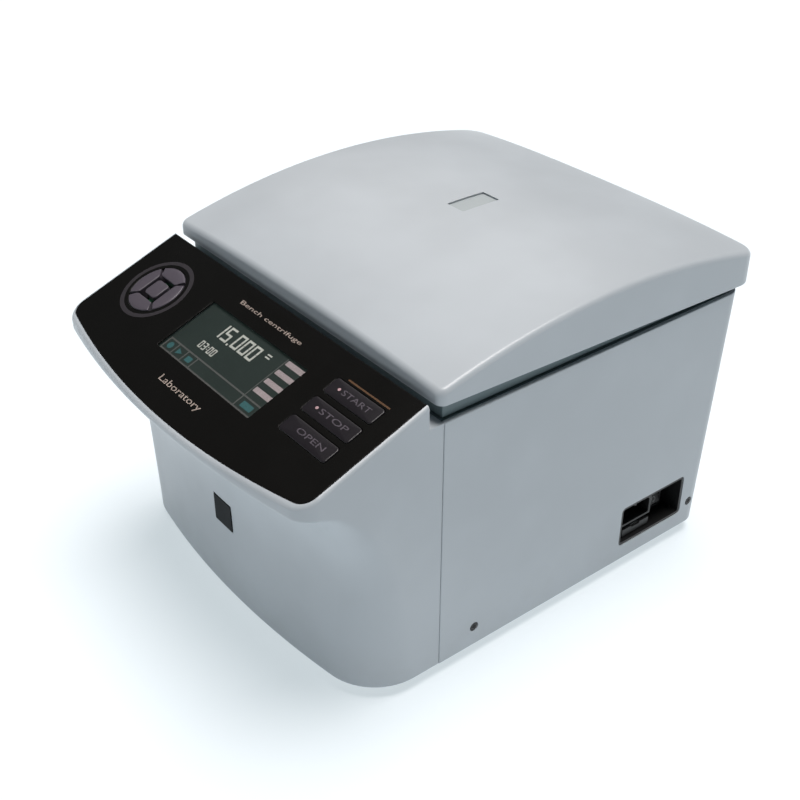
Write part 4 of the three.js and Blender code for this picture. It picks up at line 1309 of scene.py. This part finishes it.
        def middle_section(grow: float) -> list[Point2]:
            """The middle key's outline."""
            x, y, r = self.pad[0], self.pad[1], self.pad_middle / 2 + grow
            return rounded_outline(x - r, x + r, y - r, y + r, 2.6 + grow, 2.6 + grow, 6)

        self.cap("key_enter_cap", "key_enter", middle_section, 0.3)
        for name, row in self.rows.items():
            self.cap(f"key_{name}_cap", f"key_{name}",
                     lambda grow, at=row: self.row_outline(at, grow), 0.35, WIDE_CAP)
            middle = (self.key_x[0] + 22.5, row, self.proud - 0.03)
            word = lettering(f"{name}_word", name.upper(), middle, self.word_size, self.face.matrix)
            self.shop.place(word, f"{name}_key", KEY_INK)
        for name in ("start", "stop"):
            spot = (self.key_x[0] + 8.0, self.rows[name])
            lamp = plate(f"{name}_lamp", [ring(spot, 0.95, 20)], self.proud - 0.1,
                         self.proud + 0.1, 0.05, self.face.matrix)
            self.shop.place(lamp, f"{name}_key", LED_INK)

    def ink(self, name: str, outlines: Sequence[Sequence[Point2]], finish: Finish, lift: float) -> None:
        """Puts flat marks on the display's face, as one piece."""
        low = self.screen + lift
        marks = [Shape.prism(outline, low, low + 0.04) for outline in outlines]
        piece = marks[0].joined(*marks[1:]).moved(self.face.matrix).mesh(name)
        self.shop.place(piece, "base", finish)

    def digit(self, segments: str, x: float, y: float, width: float, height: float,
              stroke: float) -> list[list[Point2]]:
        """A seven-segment figure.

        Args:
            segments: lit segments, a to g.
            x: left side.
            y: lower side.
            width: its width.
            height: its height.
            stroke: width of a segment.

        Returns:
            One outline for each lit segment.
        """
        gap = 0.12
        levels = {"a": y + height - stroke, "g": y + (height - stroke) / 2, "d": y}
        sides = {"f": (x, 1), "b": (x + width - stroke, 1), "e": (x, 0), "c": (x + width - stroke, 0)}
        drawn = []
        for name in segments:
            if name in levels:
                drawn.append(oblong(x + gap, x + width - gap, levels[name], levels[name] + stroke))
                continue
            left, upper = sides[name]
            low = y + upper * height / 2
            drawn.append(oblong(left, left + stroke, low + gap, low + height / 2 - gap))
        return drawn

    def figure_row(self, text: str, x: float, y: float, width: float, height: float, stroke: float,
                   gap: float) -> list[list[Point2]]:
        """A row of figures with commas or colons between them."""
        lit = {"0": "abcdef", "1": "bc", "2": "abdeg", "3": "abcdg", "5": "acdfg"}
        drawn: list[list[Point2]] = []
        for letter in text:
            if letter in lit:
                drawn += self.digit(lit[letter], x, y, width, height, stroke)
                x += width + gap
                continue
            heights = (y - 0.6,) if letter == "," else (y + height * 0.3, y + height * 0.62)
            drawn += [oblong(x, x + stroke, h, h + stroke) for h in heights]
            x += stroke + gap
        return drawn

    def frames(self) -> list[list[Point2]]:
        """The lines round the display's lower bar and beside its soft keys."""
        low, high = self.bar_y
        left, right = self.bar_x
        line, clear = self.bar_line, 0.05
        lines = [oblong(left, right, y, y + line) for y in (high, low - line)]
        uprights = [(left, left + line), *((x, x + 0.9) for x in self.bar_splits), (right - 0.8, right)]
        lines += [oblong(x0, x1, low + clear, high - clear) for x0, x1 in uprights]
        top = high + line + clear
        return lines + [oblong(x0, x1, top, -23.2) for x0, x1 in ((32.0, 32.6), (right - 0.7, right))]

    def build_display(self) -> None:
        """Makes the pane, the display's face and what it shows."""
        self.shop.dress(BLACK, "display_module")
        face = plate("display_face", [self.display_outline(0.6)], self.screen - 0.1, self.screen, 0.02,
                     self.face.matrix)
        self.shop.place(face, "base", CRYSTAL)
        pane = plate("display_pane_glass", [self.display_outline(-0.3)], -1.7, -0.5, 0.2, self.face.matrix)
        self.shop.place(pane, "base", DISPLAY_PANE, "display_window")
        figures = self.figure_row("15,000", -25.0, -38.0, 6.0, 10.5, 1.35, 1.5)
        figures += [oblong(18.6, 22.6, y, y + 0.9) for y in (-28.6, -30.6)]
        figures += self.figure_row("03:00", -24.5, -49.2, 2.7, 5.2, 0.75, 0.95)
        self.ink("display_figures", figures, DIGIT_INK, 0.05)
        rows = (self.soft_key_y - self.soft_key_pitch * i for i in range(4))
        soft_keys = [rounded_outline(33.5, 49.0, y - 1.7, y + 1.7, 0.5, 0.5, 2) for y in rows]
        self.ink("display_soft_keys", soft_keys, SOFT_INK, 0.05)
        self.ink("display_frames", self.frames(), FRAME_INK, 0.02)
        icons = [ring((-39.2, -58.3), 2.3, 20), [(-31.6, -60.4), (-27.0, -58.3), (-31.6, -56.2)],
                 rounded_outline(-21.8, -16.8, -60.2, -56.5, 0.6, 0.6, 2),
                 rounded_outline(36.0, 45.5, -60.3, -56.4, 0.6, 0.6, 2)]
        self.ink("display_icons", icons, TEAL_INK, 0.05)
        self.shop.dress(BOARD, "control_board")

    def build(self) -> None:
        """Makes everything on the console."""
        self.build_overlay()
        self.build_keys()
        self.build_display()


@dataclass
class Lid:
    """The arched lid with its liner, sight window, striker and hinge arms."""

    shop: Workshop
    skin: float = 2.5
    front_top: float = 193.2
    rear_top: float = 196.4
    arch: float = 16.0
    crown: float = 3.95
    crown_power: float = 2.7
    front_low: float = 185.0
    rear_low: float = 177.5
    rear_corner: float = 13.0
    front_corner: float = 5.0
    edge_round: float = 3.0
    lower_round: float = 0.8
    notch_half: float = 2.9
    screw_places: tuple[Point2, ...] = ((-108, -50), (108, -50), (-108, 118),
                                        (108, 118), (-60, 146), (60, 146))

    def __post_init__(self) -> None:
        """Reads the lid's place from the frame."""
        box = Box.of("lid_shell")
        self.half = box.hi.x
        self.front, self.rear = box.lo.y, box.hi.y
        self.window = Box.of("lid_sight_window")

    def share(self, y: float) -> float:
        """How far back a place is, from 0 at the front to 1 at the rear."""
        return (y - self.front) / (self.rear - self.front)

    def top(self, x: float, y: float) -> float:
        """Height of the upper side."""
        share = self.share(y)
        chord = self.front_top + (self.rear_top - self.front_top) * share
        across = min(abs(x / self.half), 1.0)
        return chord + self.arch * 4 * share * (1 - share) + self.crown * (1 - across ** self.crown_power)

    def low(self, y: float) -> float:
        """Height of the sloping lower edge."""
        return self.front_low + (self.rear_low - self.front_low) * self.share(y)

    def outline(self, inset: float) -> list[Point2]:
        """The lid's plan, drawn in by an inset."""
        front, rear = (max(radius - inset, 0.6) for radius in (self.front_corner, self.rear_corner))
        return rounded_outline(-self.half + inset, self.half - inset, self.front + inset, self.rear - inset,
                               front, rear, 9, 30, 30)

    def window_outline(self, grow: float) -> list[Point2]:
        """The sight window's plan, with the same number of points as the lid's."""
        lo, hi = self.window.lo, self.window.hi
        return rounded_outline(lo.x - grow, hi.x + grow, lo.y - grow, hi.y + grow, 1.2, 1.2, 9, 30, 30)

    def skin_rings(self, inset: float, lower: float, steps: int) -> list[list[Vector]]:
        """Rings over the upper side, from the window out to the edge."""
        inner, outer = self.window_outline(0.3), self.outline(inset)
        rings = []
        for i in range(steps + 1):
            share = (i / steps) ** 0.8
            plan = [(a[0] + (b[0] - a[0]) * share, a[1] + (b[1] - a[1]) * share)
                    for a, b in zip(inner, outer)]
            rings.append([Vector((x, y, self.top(x, y) - lower)) for x, y in plan])
        return rings

    def shell(self) -> Shape:
        """The lid's shell as one closed skin round the window."""
        rings = self.skin_rings(self.edge_round, 0.0, 26)
        for inset, drop in reversed(fillet(self.edge_round, 6)[:-1]):
            rings.append([Vector((x, y, self.top(x, y) - drop)) for x, y in self.outline(inset)])
        for inset, drop in fillet(self.lower_round, 3):
            rings.append([Vector((x, y, self.low(y) + drop)) for x, y in self.outline(inset)])
        rings.append([Vector((x, y, self.low(y))) for x, y in self.outline(self.skin)])
        inside = self.skin_rings(self.skin, self.skin, 12)
        rings += list(reversed(inside))
        return Shape.lofted(rings, capped=False, looped=True)

    def build(self) -> None:
        """Makes the lid."""
        shell = self.shell().mesh("lid_shell_moulding")
        notches = []
        for side in ("left", "right"):
            ear = Box.of(f"hinge_bracket_{side}")
            left, right = ear.centre.x - self.notch_half, ear.centre.x + self.notch_half
            notches.append(Shape.block((left, ear.hi.y - 10, 160), (right, self.rear + 9, 190)))
        carve(shell, *notches)
        self.shop.place(shell, "lid", CASING, "lid_shell", smooth=34)
        self.build_window()
        self.build_liner()
        self.shop.dress(BRIGHT, "lid_striker")
        self.shop.dress(ZINC, "lid_hinge_arm_left", "lid_hinge_arm_right")

    def build_window(self) -> None:
        """Makes the sight window, a little below the lid's surface."""
        rings = []
        for lower, inset in ((self.skin, 0.0), (1.1, 0.0), (0.8, 0.35)):
            plan = self.window_outline(-inset)
            rings.append([Vector((x, y, self.top(x, y) - lower)) for x, y in plan])
        pane = Shape.lofted(rings).mesh("lid_sight_pane")
        self.shop.place(pane, "lid", SIGHT_PANE, "lid_sight_window")

    def build_liner(self) -> None:
        """Dresses the liner and adds the screws that hold it."""
        self.shop.dress(INNER_PAINTED_SHADE, "lid_liner")
        level = Box.of("lid_striker").hi.z + 0.3
        for i, (x, y) in enumerate(self.screw_places):
            profile = [(0, level - 1.5), (1.6, level - 1.5)] + arc((2.3, level - 0.9), 0.6, 270, 360, 3)
            profile += [(2.9, level + 0.5), (0, level + 0.5)]
            screw = Shape.turned(profile, 24, (x, y)).mesh(f"liner_screw_{i + 1}")
            self.shop.place(screw, "lid", BRIGHT)


@dataclass
class Chamber:
    """Bowl, gasket, rotor and its lid, all round one upright axis."""

    shop: Workshop
    places: int = 24
    tube_radius: float = 5.6
    tube_tilt: float = math.radians(45)
    tube_mouth: float = 51.8
    tube_straight: float = 32.0
    tube_tip: float = 6.0
    cone_foot: Point2 = (31.0, 16.0)
    scallops: int = 8
    scallop_circle: float = 16.0
    scallop_radius: float = 3.35

    def __post_init__(self) -> None:
        """Reads the axis from the frame."""
        self.axis = Box.of("motor_shaft").centre
        self.centre = (self.axis.x, self.axis.y)

    def turn(self, name: str, profile: Sequence[Point2], body: str, finish: Finish, node: str,
             sides: int = 96) -> bpy.types.Object:
        """Makes a piece turned about the chamber's axis."""
        piece = Shape.turned(profile, sides, self.centre).mesh(name)
        return self.shop.place(piece, body, finish, node, smooth=30)

    def build_bowl(self) -> None:
        """Makes the bowl with its rounded floor, and the gasket on its rim."""
        box = Box.of("chamber_bowl")
        r = box.hi.x - 7.5
        floor, rim = box.lo.z, box.hi.z
        outside = [(19, floor), (r - 16, floor)] + arc((r - 16, floor + 16), 16, -90, 0, 14)[1:]
        outside.append((r, rim - 1))
        lip = [(box.hi.x - 0.5, rim - 1)] + arc((box.hi.x - 0.5, rim - 0.5), 0.5, -90, 90, 4)
        inside = arc((r - 0.5, rim - 1.5), 1.5, 90, 180, 4)
        inside += arc((r - 16, floor + 16), 14, 0, -90, 14) + [(19, floor + 2)]
        self.turn("chamber_bowl_steel", outside + lip + inside, "base", STAINLESS, "chamber_bowl", 128)
        box = Box.of("chamber_gasket")
        inner, outer = box.hi.x - 5, box.hi.x
        seal = [(inner, box.lo.z), (outer, box.lo.z), (outer, box.lo.z + 1.4)]
        seal += arc((outer - 1.6, box.hi.z - 1.1), 1.1, 20, 160, 8) + [(inner, box.lo.z + 1.4)]
        self.turn("chamber_gasket_ring", seal, "base", RUBBER, "chamber_gasket", 128)

    def build_rotor(self) -> None:
        """Makes the rotor with its tube places, its lid and the knob that holds it."""
        box = Box.of("rotor")
        low, high, r = box.lo.z, box.hi.z, box.hi.x
        hub = high - 2
        profile = [(7.3, low), (30, low), (40, low + 3), (r - 7, low + 3)]
        profile += arc((r - 5, low + 8), 5, -70, 0, 6)
        profile += [(r, low + 23)] + arc((r - 3, low + 23.6), 3, 0, 28, 3)
        profile += arc((72, high - 2), 2, 30, 90, 4) + [(64, high), (62.7, high - 0.4)]
        foot = (self.cone_foot[0], low + self.cone_foot[1])
        profile += [foot] + arc((26, low + 18), 2.4, -60, -150, 5) + [(17, low + 22), (15, hub - 1)]
        profile += [(14.4, hub), (5.5, hub), (5.5, low + 24.4), (7.3, low + 16.4)]
        rotor = Shape.turned(profile, 144).mesh("rotor_body")
        tip, straight = self.tube_tip, self.tube_straight
        wide, mouth = self.tube_radius, self.tube_radius + 0.6
        bore = [(0, -straight - tip), (1.9, -straight - tip), (wide, -straight), (wide, -0.5), (mouth, 0.1),
                (mouth, 4), (0, 4)]
        tool = Shape.turned(bore, 24)
        mouth_height = low + self.cone_foot[1] + self.tube_mouth - self.cone_foot[0]
        bores = []
        for i in range(self.places):
            place = Matrix.Rotation(2 * math.pi * i / self.places, 4, "Z") @ Matrix.Translation(
                (self.tube_mouth, 0, mouth_height)) @ Matrix.Rotation(-self.tube_tilt, 4, "Y")
            bores.append(tool.moved(place))
        carve(rotor, bores[0].joined(*bores[1:]))
        rotor.data.transform(Matrix.Translation(Vector((self.axis.x, self.axis.y, 0)) * MM))
        self.shop.place(rotor, "rotor_group", ANODISED, "rotor", smooth=30)
        box = Box.of("rotor_lid")
        low, high, r = box.lo.z, box.hi.z, box.hi.x
        cover = [(5.6, low), (16, low), (22, low + 2), (r - 1, low + 2)]
        cover += arc((r - 0.9, low + 3.1), 0.9, -60, 90, 5) + arc((r - 8, high - 2.8), 2, 80, 90, 2)
        cover += [(30, high - 0.9), (26, high - 0.4), (18, high), (5.6, high)]
        self.turn("rotor_lid_disc", cover, "rotor_group", STAINLESS, "rotor_lid", 128)
        self.build_knob()

    def build_knob(self) -> None:
        """Makes the scalloped knob."""
        box = Box.of("rotor_knob")
        low, high = box.lo.z, box.hi.z
        profile = [(5, low), (12.8, low)] + arc((13.0, low + 1), 1, -90, 0, 4) + [(14, high - 3.2)]
        profile += arc((11.6, high - 3.2), 2.4, 0, 90, 6)[1:]
        profile += [(10, high - 0.3), (8.5, high - 0.7), (0, high - 0.7), (0, low + 8), (5, low + 8)]
        knob = Shape.turned(profile, 96).mesh("rotor_knob_grip")
        places = ring((0, 0), self.scallop_circle, self.scallops)
        radius = self.scallop_radius
        scallops = [Shape.prism(ring(place, radius, 24), low - 2, high + 4) for place in places]
        carve(knob, scallops[0].joined(*scallops[1:]))
        knob.data.transform(Matrix.Translation(Vector((self.axis.x, self.axis.y, 0)) * MM))
        self.shop.place(knob, "lid_knob", BLACK, "rotor_knob", smooth=34)

    def build(self) -> None:
        """Makes the chamber and dresses the drive under it."""
        self.build_bowl()
        self.build_rotor()
        self.shop.dress(RUBBER, "shaft_seal", *(f"motor_damper_{i}" for i in (1, 2, 3)))
        self.shop.dress(BRIGHT, "motor_shaft", "upper_bearing")
        self.shop.dress(CAST, "motor_housing")
        self.shop.dress(ZINC, "motor_mount_plate")
        self.shop.dress(BOARD, "drive_board")
        self.shop.dress(BLACK, "fan_frame", "fan_rotor")


@dataclass
class PowerEntry:
    """The recessed mains entry: tray, inlet, switch and fuse drawer."""

    shop: Workshop
    wall: float = 1.5
    socket_floor: float = 104.0
    pins: tuple[Point2, ...] = ((86.5, 36.0), (100.5, 36.0), (93.5, 40.0))
    rocker_pivot: float = 108.0
    rocker_tilt: float = math.radians(-10)

    @staticmethod
    def boxed(box: Box, grow: float = 0.0) -> Shape:
        """A block over a box, grown by a distance."""
        more = Vector((grow, grow, grow))
        return Shape.block(box.lo - more, box.hi + more)

    def build_tray(self) -> None:
        """Makes the tray and its openings."""
        tray = Box.of("power_entry_tray")
        plan = rounded_outline(tray.lo.y, tray.hi.y, tray.lo.z, tray.hi.z, 2.7, 2.7, 6)
        shell = Shape.prism(plan, tray.lo.x, tray.hi.x).moved(SIDEWAYS).mesh("power_entry_bezel")
        wall = self.wall
        inner = rounded_outline(tray.lo.y + wall, tray.hi.y - wall,
                                tray.lo.z + wall, tray.hi.z - wall, 1.4, 1.4, 5)
        cavity = Shape.prism(inner, tray.lo.x + 2, tray.hi.x + 5).moved(SIDEWAYS)
        openings = [self.boxed(Box.of(n), 0.3) for n in ("mains_inlet", "fuse_drawer", "switch_housing")]
        carve(shell, cavity, *openings)
        self.shop.place(shell, "base", BLACK, "power_entry_tray")

    def build_inlet(self) -> None:
        """Makes the appliance inlet and its three pins."""
        box = Box.of("mains_inlet")
        lo, hi = box.lo, box.hi
        body = self.boxed(box).mesh("mains_inlet_body")
        y0, y1, z0, z1 = lo.y + 2, hi.y - 2, lo.z + 1.8, hi.z - 1.8
        plan = [(y0, z0), (y1, z0), (y1, z1 - 4), (y1 - 4, z1), (y0 + 4, z1), (y0, z1 - 4)]
        carve(body, Shape.prism(plan, self.socket_floor, hi.x + 5).moved(SIDEWAYS))
        soften(body, 0.4)
        self.shop.place(body, "base", BLACK, "mains_inlet")
        start = self.socket_floor + 0.2
        for i, (y, z) in enumerate(self.pins):
            pin = Shape.block((start, y - 1, z - 2), (115, y + 1, z + 2)).mesh(f"inlet_pin_{i + 1}")
            soften(pin, 0.35)
            self.shop.place(pin, "base", BRIGHT)

    def build_switch(self) -> None:
        """Makes the switch and its marks, and the fuse drawer."""
        box = Box.of("switch_housing")
        body = self.boxed(box).mesh("switch_housing_frame")
        well = Shape.block((99, box.lo.y + 1.8, box.lo.z + 1.8), (120, box.hi.y - 1.8, box.hi.z - 1.8))
        carve(body, well)
        soften(body, 0.35)
        self.shop.place(body, "base", BLACK, "switch_housing")
        rocker = Box.of("rocker_switch")
        pivot = Vector((self.rocker_pivot, 0, box.centre.z))
        face = [(-8.6, 5.5), (0, 4.2), (8.6, 5.5), (6, -3), (-6, -3)]
        profile = [(x, z) for z, x in face]
        tilt = Matrix.Translation(pivot) @ Matrix.Rotation(self.rocker_tilt, 4, "Y")
        along = Matrix(((1, 0, 0, 0), (0, 0, 1, 0), (0, 1, 0, 0), (0, 0, 0, 1)))
        shape = Shape.prism(profile, rocker.lo.y, rocker.hi.y).moved(tilt @ along)
        key = soften(shape.mesh("rocker_switch_cap"), 0.5, 3)
        self.shop.place(key, "rocker", BLACK, "rocker_switch")
        middle = (rocker.lo.y + rocker.hi.y) / 2
        stroke = rounded_outline(middle - 0.35, middle + 0.35, 3.2, 7.0, 0.2, 0.2, 2)
        circle = [ring((middle, -5.2), r, 24) for r in (1.9, 1.3)]
        for name, outlines, angle in (("switch_on_mark", [stroke], 8.6), ("switch_off_mark", circle, -8.6)):
            lean = Matrix.Translation((4.2, 0, 0)) @ Matrix.Rotation(math.radians(angle), 4, "Y")
            mark = plate(name, outlines, 0.0, 0.12, 0.02, tilt @ lean @ SIDEWAYS)
            self.shop.place(mark, "rocker", MARK_INK)
        drawer = Box.of("fuse_drawer")
        front = self.boxed(drawer).mesh("fuse_drawer_body")
        carve(front, Shape.block((drawer.hi.x - 1.5, 90, drawer.hi.z - 1.2),
                                 (drawer.hi.x + 3, 97, drawer.hi.z + 3)))
        soften(front, 0.3)
        self.shop.place(front, "drawer", BLACK, "fuse_drawer")

    def build(self) -> None:
        """Makes the mains entry."""
        self.build_tray()
        self.build_inlet()
        self.build_switch()


@dataclass
class Hinges:
    """Brackets, pins and torsion springs at the rear of the deck, and the latch at the front."""

    shop: Workshop
    wire: float = 0.55
    coil: float = 3.3
    turns: int = 4

    def build_spring(self, side: str) -> None:
        """Makes a torsion spring as a swept wire."""
        pin = Box.of(f"hinge_pin_{side}").centre
        box = Box.of(f"hinge_spring_{side}")
        near, far = sorted((box.lo.x + self.wire, box.hi.x - self.wire), key=abs)
        steps = self.turns * 24
        points = [Vector((near, pin.y - ahead, pin.z + self.coil)) for ahead in (13, 6)]
        for i in range(steps + 1):
            angle = math.pi / 2 + 2 * math.pi * self.turns * i / steps
            points.append(Vector((near + (far - near) * i / steps, pin.y + self.coil * math.cos(angle),
                                  pin.z + self.coil * math.sin(angle))))
        rings = []
        for i, point in enumerate(points):
            ahead = (points[min(i + 1, len(points) - 1)] - points[max(i - 1, 0)]).normalized()
            side_way = ahead.cross(Vector((1, 0, 0))).normalized()
            up = ahead.cross(side_way)
            rings.append([point + self.wire * (side_way * math.cos(a) + up * math.sin(a))
                          for a in (2 * math.pi * k / 10 for k in range(10))])
        spring = Shape.lofted(rings).mesh(f"hinge_spring_{side}_wire")
        self.shop.place(spring, "base", BRIGHT, f"hinge_spring_{side}", smooth=60)

    def build(self) -> None:
        """Makes the hinges and dresses the latch."""
        for side in ("left", "right"):
            self.build_spring(side)
            box = Box.of(f"hinge_pin_{side}")
            r = box.size.z / 2
            profile = [(0, box.lo.x), (r - 0.4, box.lo.x), (r, box.lo.x + 0.4), (r, box.hi.x - 0.4),
                       (r - 0.4, box.hi.x), (0, box.hi.x)]
            place = Matrix.Translation((0, box.centre.y, box.centre.z)) @ SIDEWAYS
            pin = Shape.turned(profile, 32).moved(place).mesh(f"hinge_pin_{side}_steel")
            self.shop.place(pin, "base", BRIGHT, f"hinge_pin_{side}")
            self.shop.dress(ZINC, f"hinge_bracket_{side}")
        self.shop.dress(BLACK, "latch_housing")
        self.shop.dress(BRIGHT, "latch_bolt")


@dataclass
class Studio:
    """Pale floor, even soft light from above and the camera."""

    azimuth: float = 51.90
    elevation: float = 33.03
    distance: float = 0.8177
    aim: Point3 = (-0.0352, 0.0279, 0.0664)
    lens: float = 54.83
    floor_half: float = 60.0
    sun_power: float = 3.68
    sun_from: Point3 = (0.02, 0.14, 1.0)
    sun_spread: float = 38.0
    sun_colour: Colour = (1.0, 0.965, 0.94)
    back_power: float = 0.2
    back_from: Point3 = (-0.79, 0.62, 0.68)
    back_spread: float = 30.0
    sky: float = 0.06
    sky_colour: Colour = (0.70, 0.92, 1.0)

    def light(self, name: str, power: float, source: Point3, spread: float, colour: Colour) -> None:
        """Adds an even light from one side of the sky.

        Args:
            name: the light's name.
            power: its irradiance.
            source: the way that it comes from.
            spread: the width of its disc in degrees, which softens its shadows.
            colour: its colour.
        """
        data = bpy.data.lights.new(name, "SUN")
        data.energy = power
        data.color = colour
        data.angle = math.radians(spread)
        lamp = bpy.data.objects.new(name, data)
        lamp.rotation_euler = (-Vector(source)).to_track_quat("-Z", "Y").to_euler()
        bpy.context.scene.collection.objects.link(lamp)

    def build_sky(self) -> None:
        """Makes a dim bluish sky that looks white where the camera sees it past the floor."""
        world = bpy.data.worlds.new("studio_sky")
        world.use_nodes = True
        tree = world.node_tree
        dim = tree.nodes["Background"]
        dim.inputs["Color"].default_value = (*self.sky_colour, 1.0)
        dim.inputs["Strength"].default_value = self.sky
        white = tree.nodes.new("ShaderNodeBackground")
        white.inputs["Color"].default_value = (1.0, 1.0, 1.0, 1.0)
        seen = tree.nodes.new("ShaderNodeLightPath")
        either = tree.nodes.new("ShaderNodeMixShader")
        tree.links.new(seen.outputs["Is Camera Ray"], either.inputs["Fac"])
        tree.links.new(dim.outputs[0], either.inputs[1])
        tree.links.new(white.outputs[0], either.inputs[2])
        tree.links.new(either.outputs[0], tree.nodes["World Output"].inputs["Surface"])
        bpy.context.scene.world = world

    def build(self) -> None:
        """Makes the studio."""
        half = self.floor_half / MM
        floor = Shape.block((-half, -half, -20), (half, half, 0)).mesh("studio_floor")
        floor.data.materials.append(BENCH.material())
        self.light("top_light", self.sun_power, self.sun_from, self.sun_spread, self.sun_colour)
        self.light("back_light", self.back_power, self.back_from, self.back_spread, self.sun_colour)
        self.build_sky()
        scene = bpy.context.scene
        scene.view_settings.view_transform = "Standard"
        a, e = math.radians(self.azimuth), math.radians(self.elevation)
        away = Vector((math.sin(a) * math.cos(e), -math.cos(a) * math.cos(e), math.sin(e)))
        data = bpy.data.cameras.new("camera")
        data.lens = self.lens
        data.sensor_width = 36.0
        camera = bpy.data.objects.new("camera", data)
        camera.location = Vector(self.aim) + away * self.distance
        camera.rotation_euler = (-away).to_track_quat("-Z", "Y").to_euler()
        scene.collection.objects.link(camera)
        scene.camera = camera


def main() -> None:
    """Builds every sub-assembly on the frame."""
    logging.basicConfig(level=logging.INFO, format="%(name)s: %(message)s")
    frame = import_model()
    shop = Workshop(frame)
    Studio().build()
    casing = Casing(shop)
    console = Console(shop, casing.face)
    casing.build(console.holes(), console.seat())
    console.build()
    for assembly in (Lid(shop), Chamber(shop), PowerEntry(shop), Hinges(shop)):
        assembly.build()


if __name__ == "__main__":
    main()
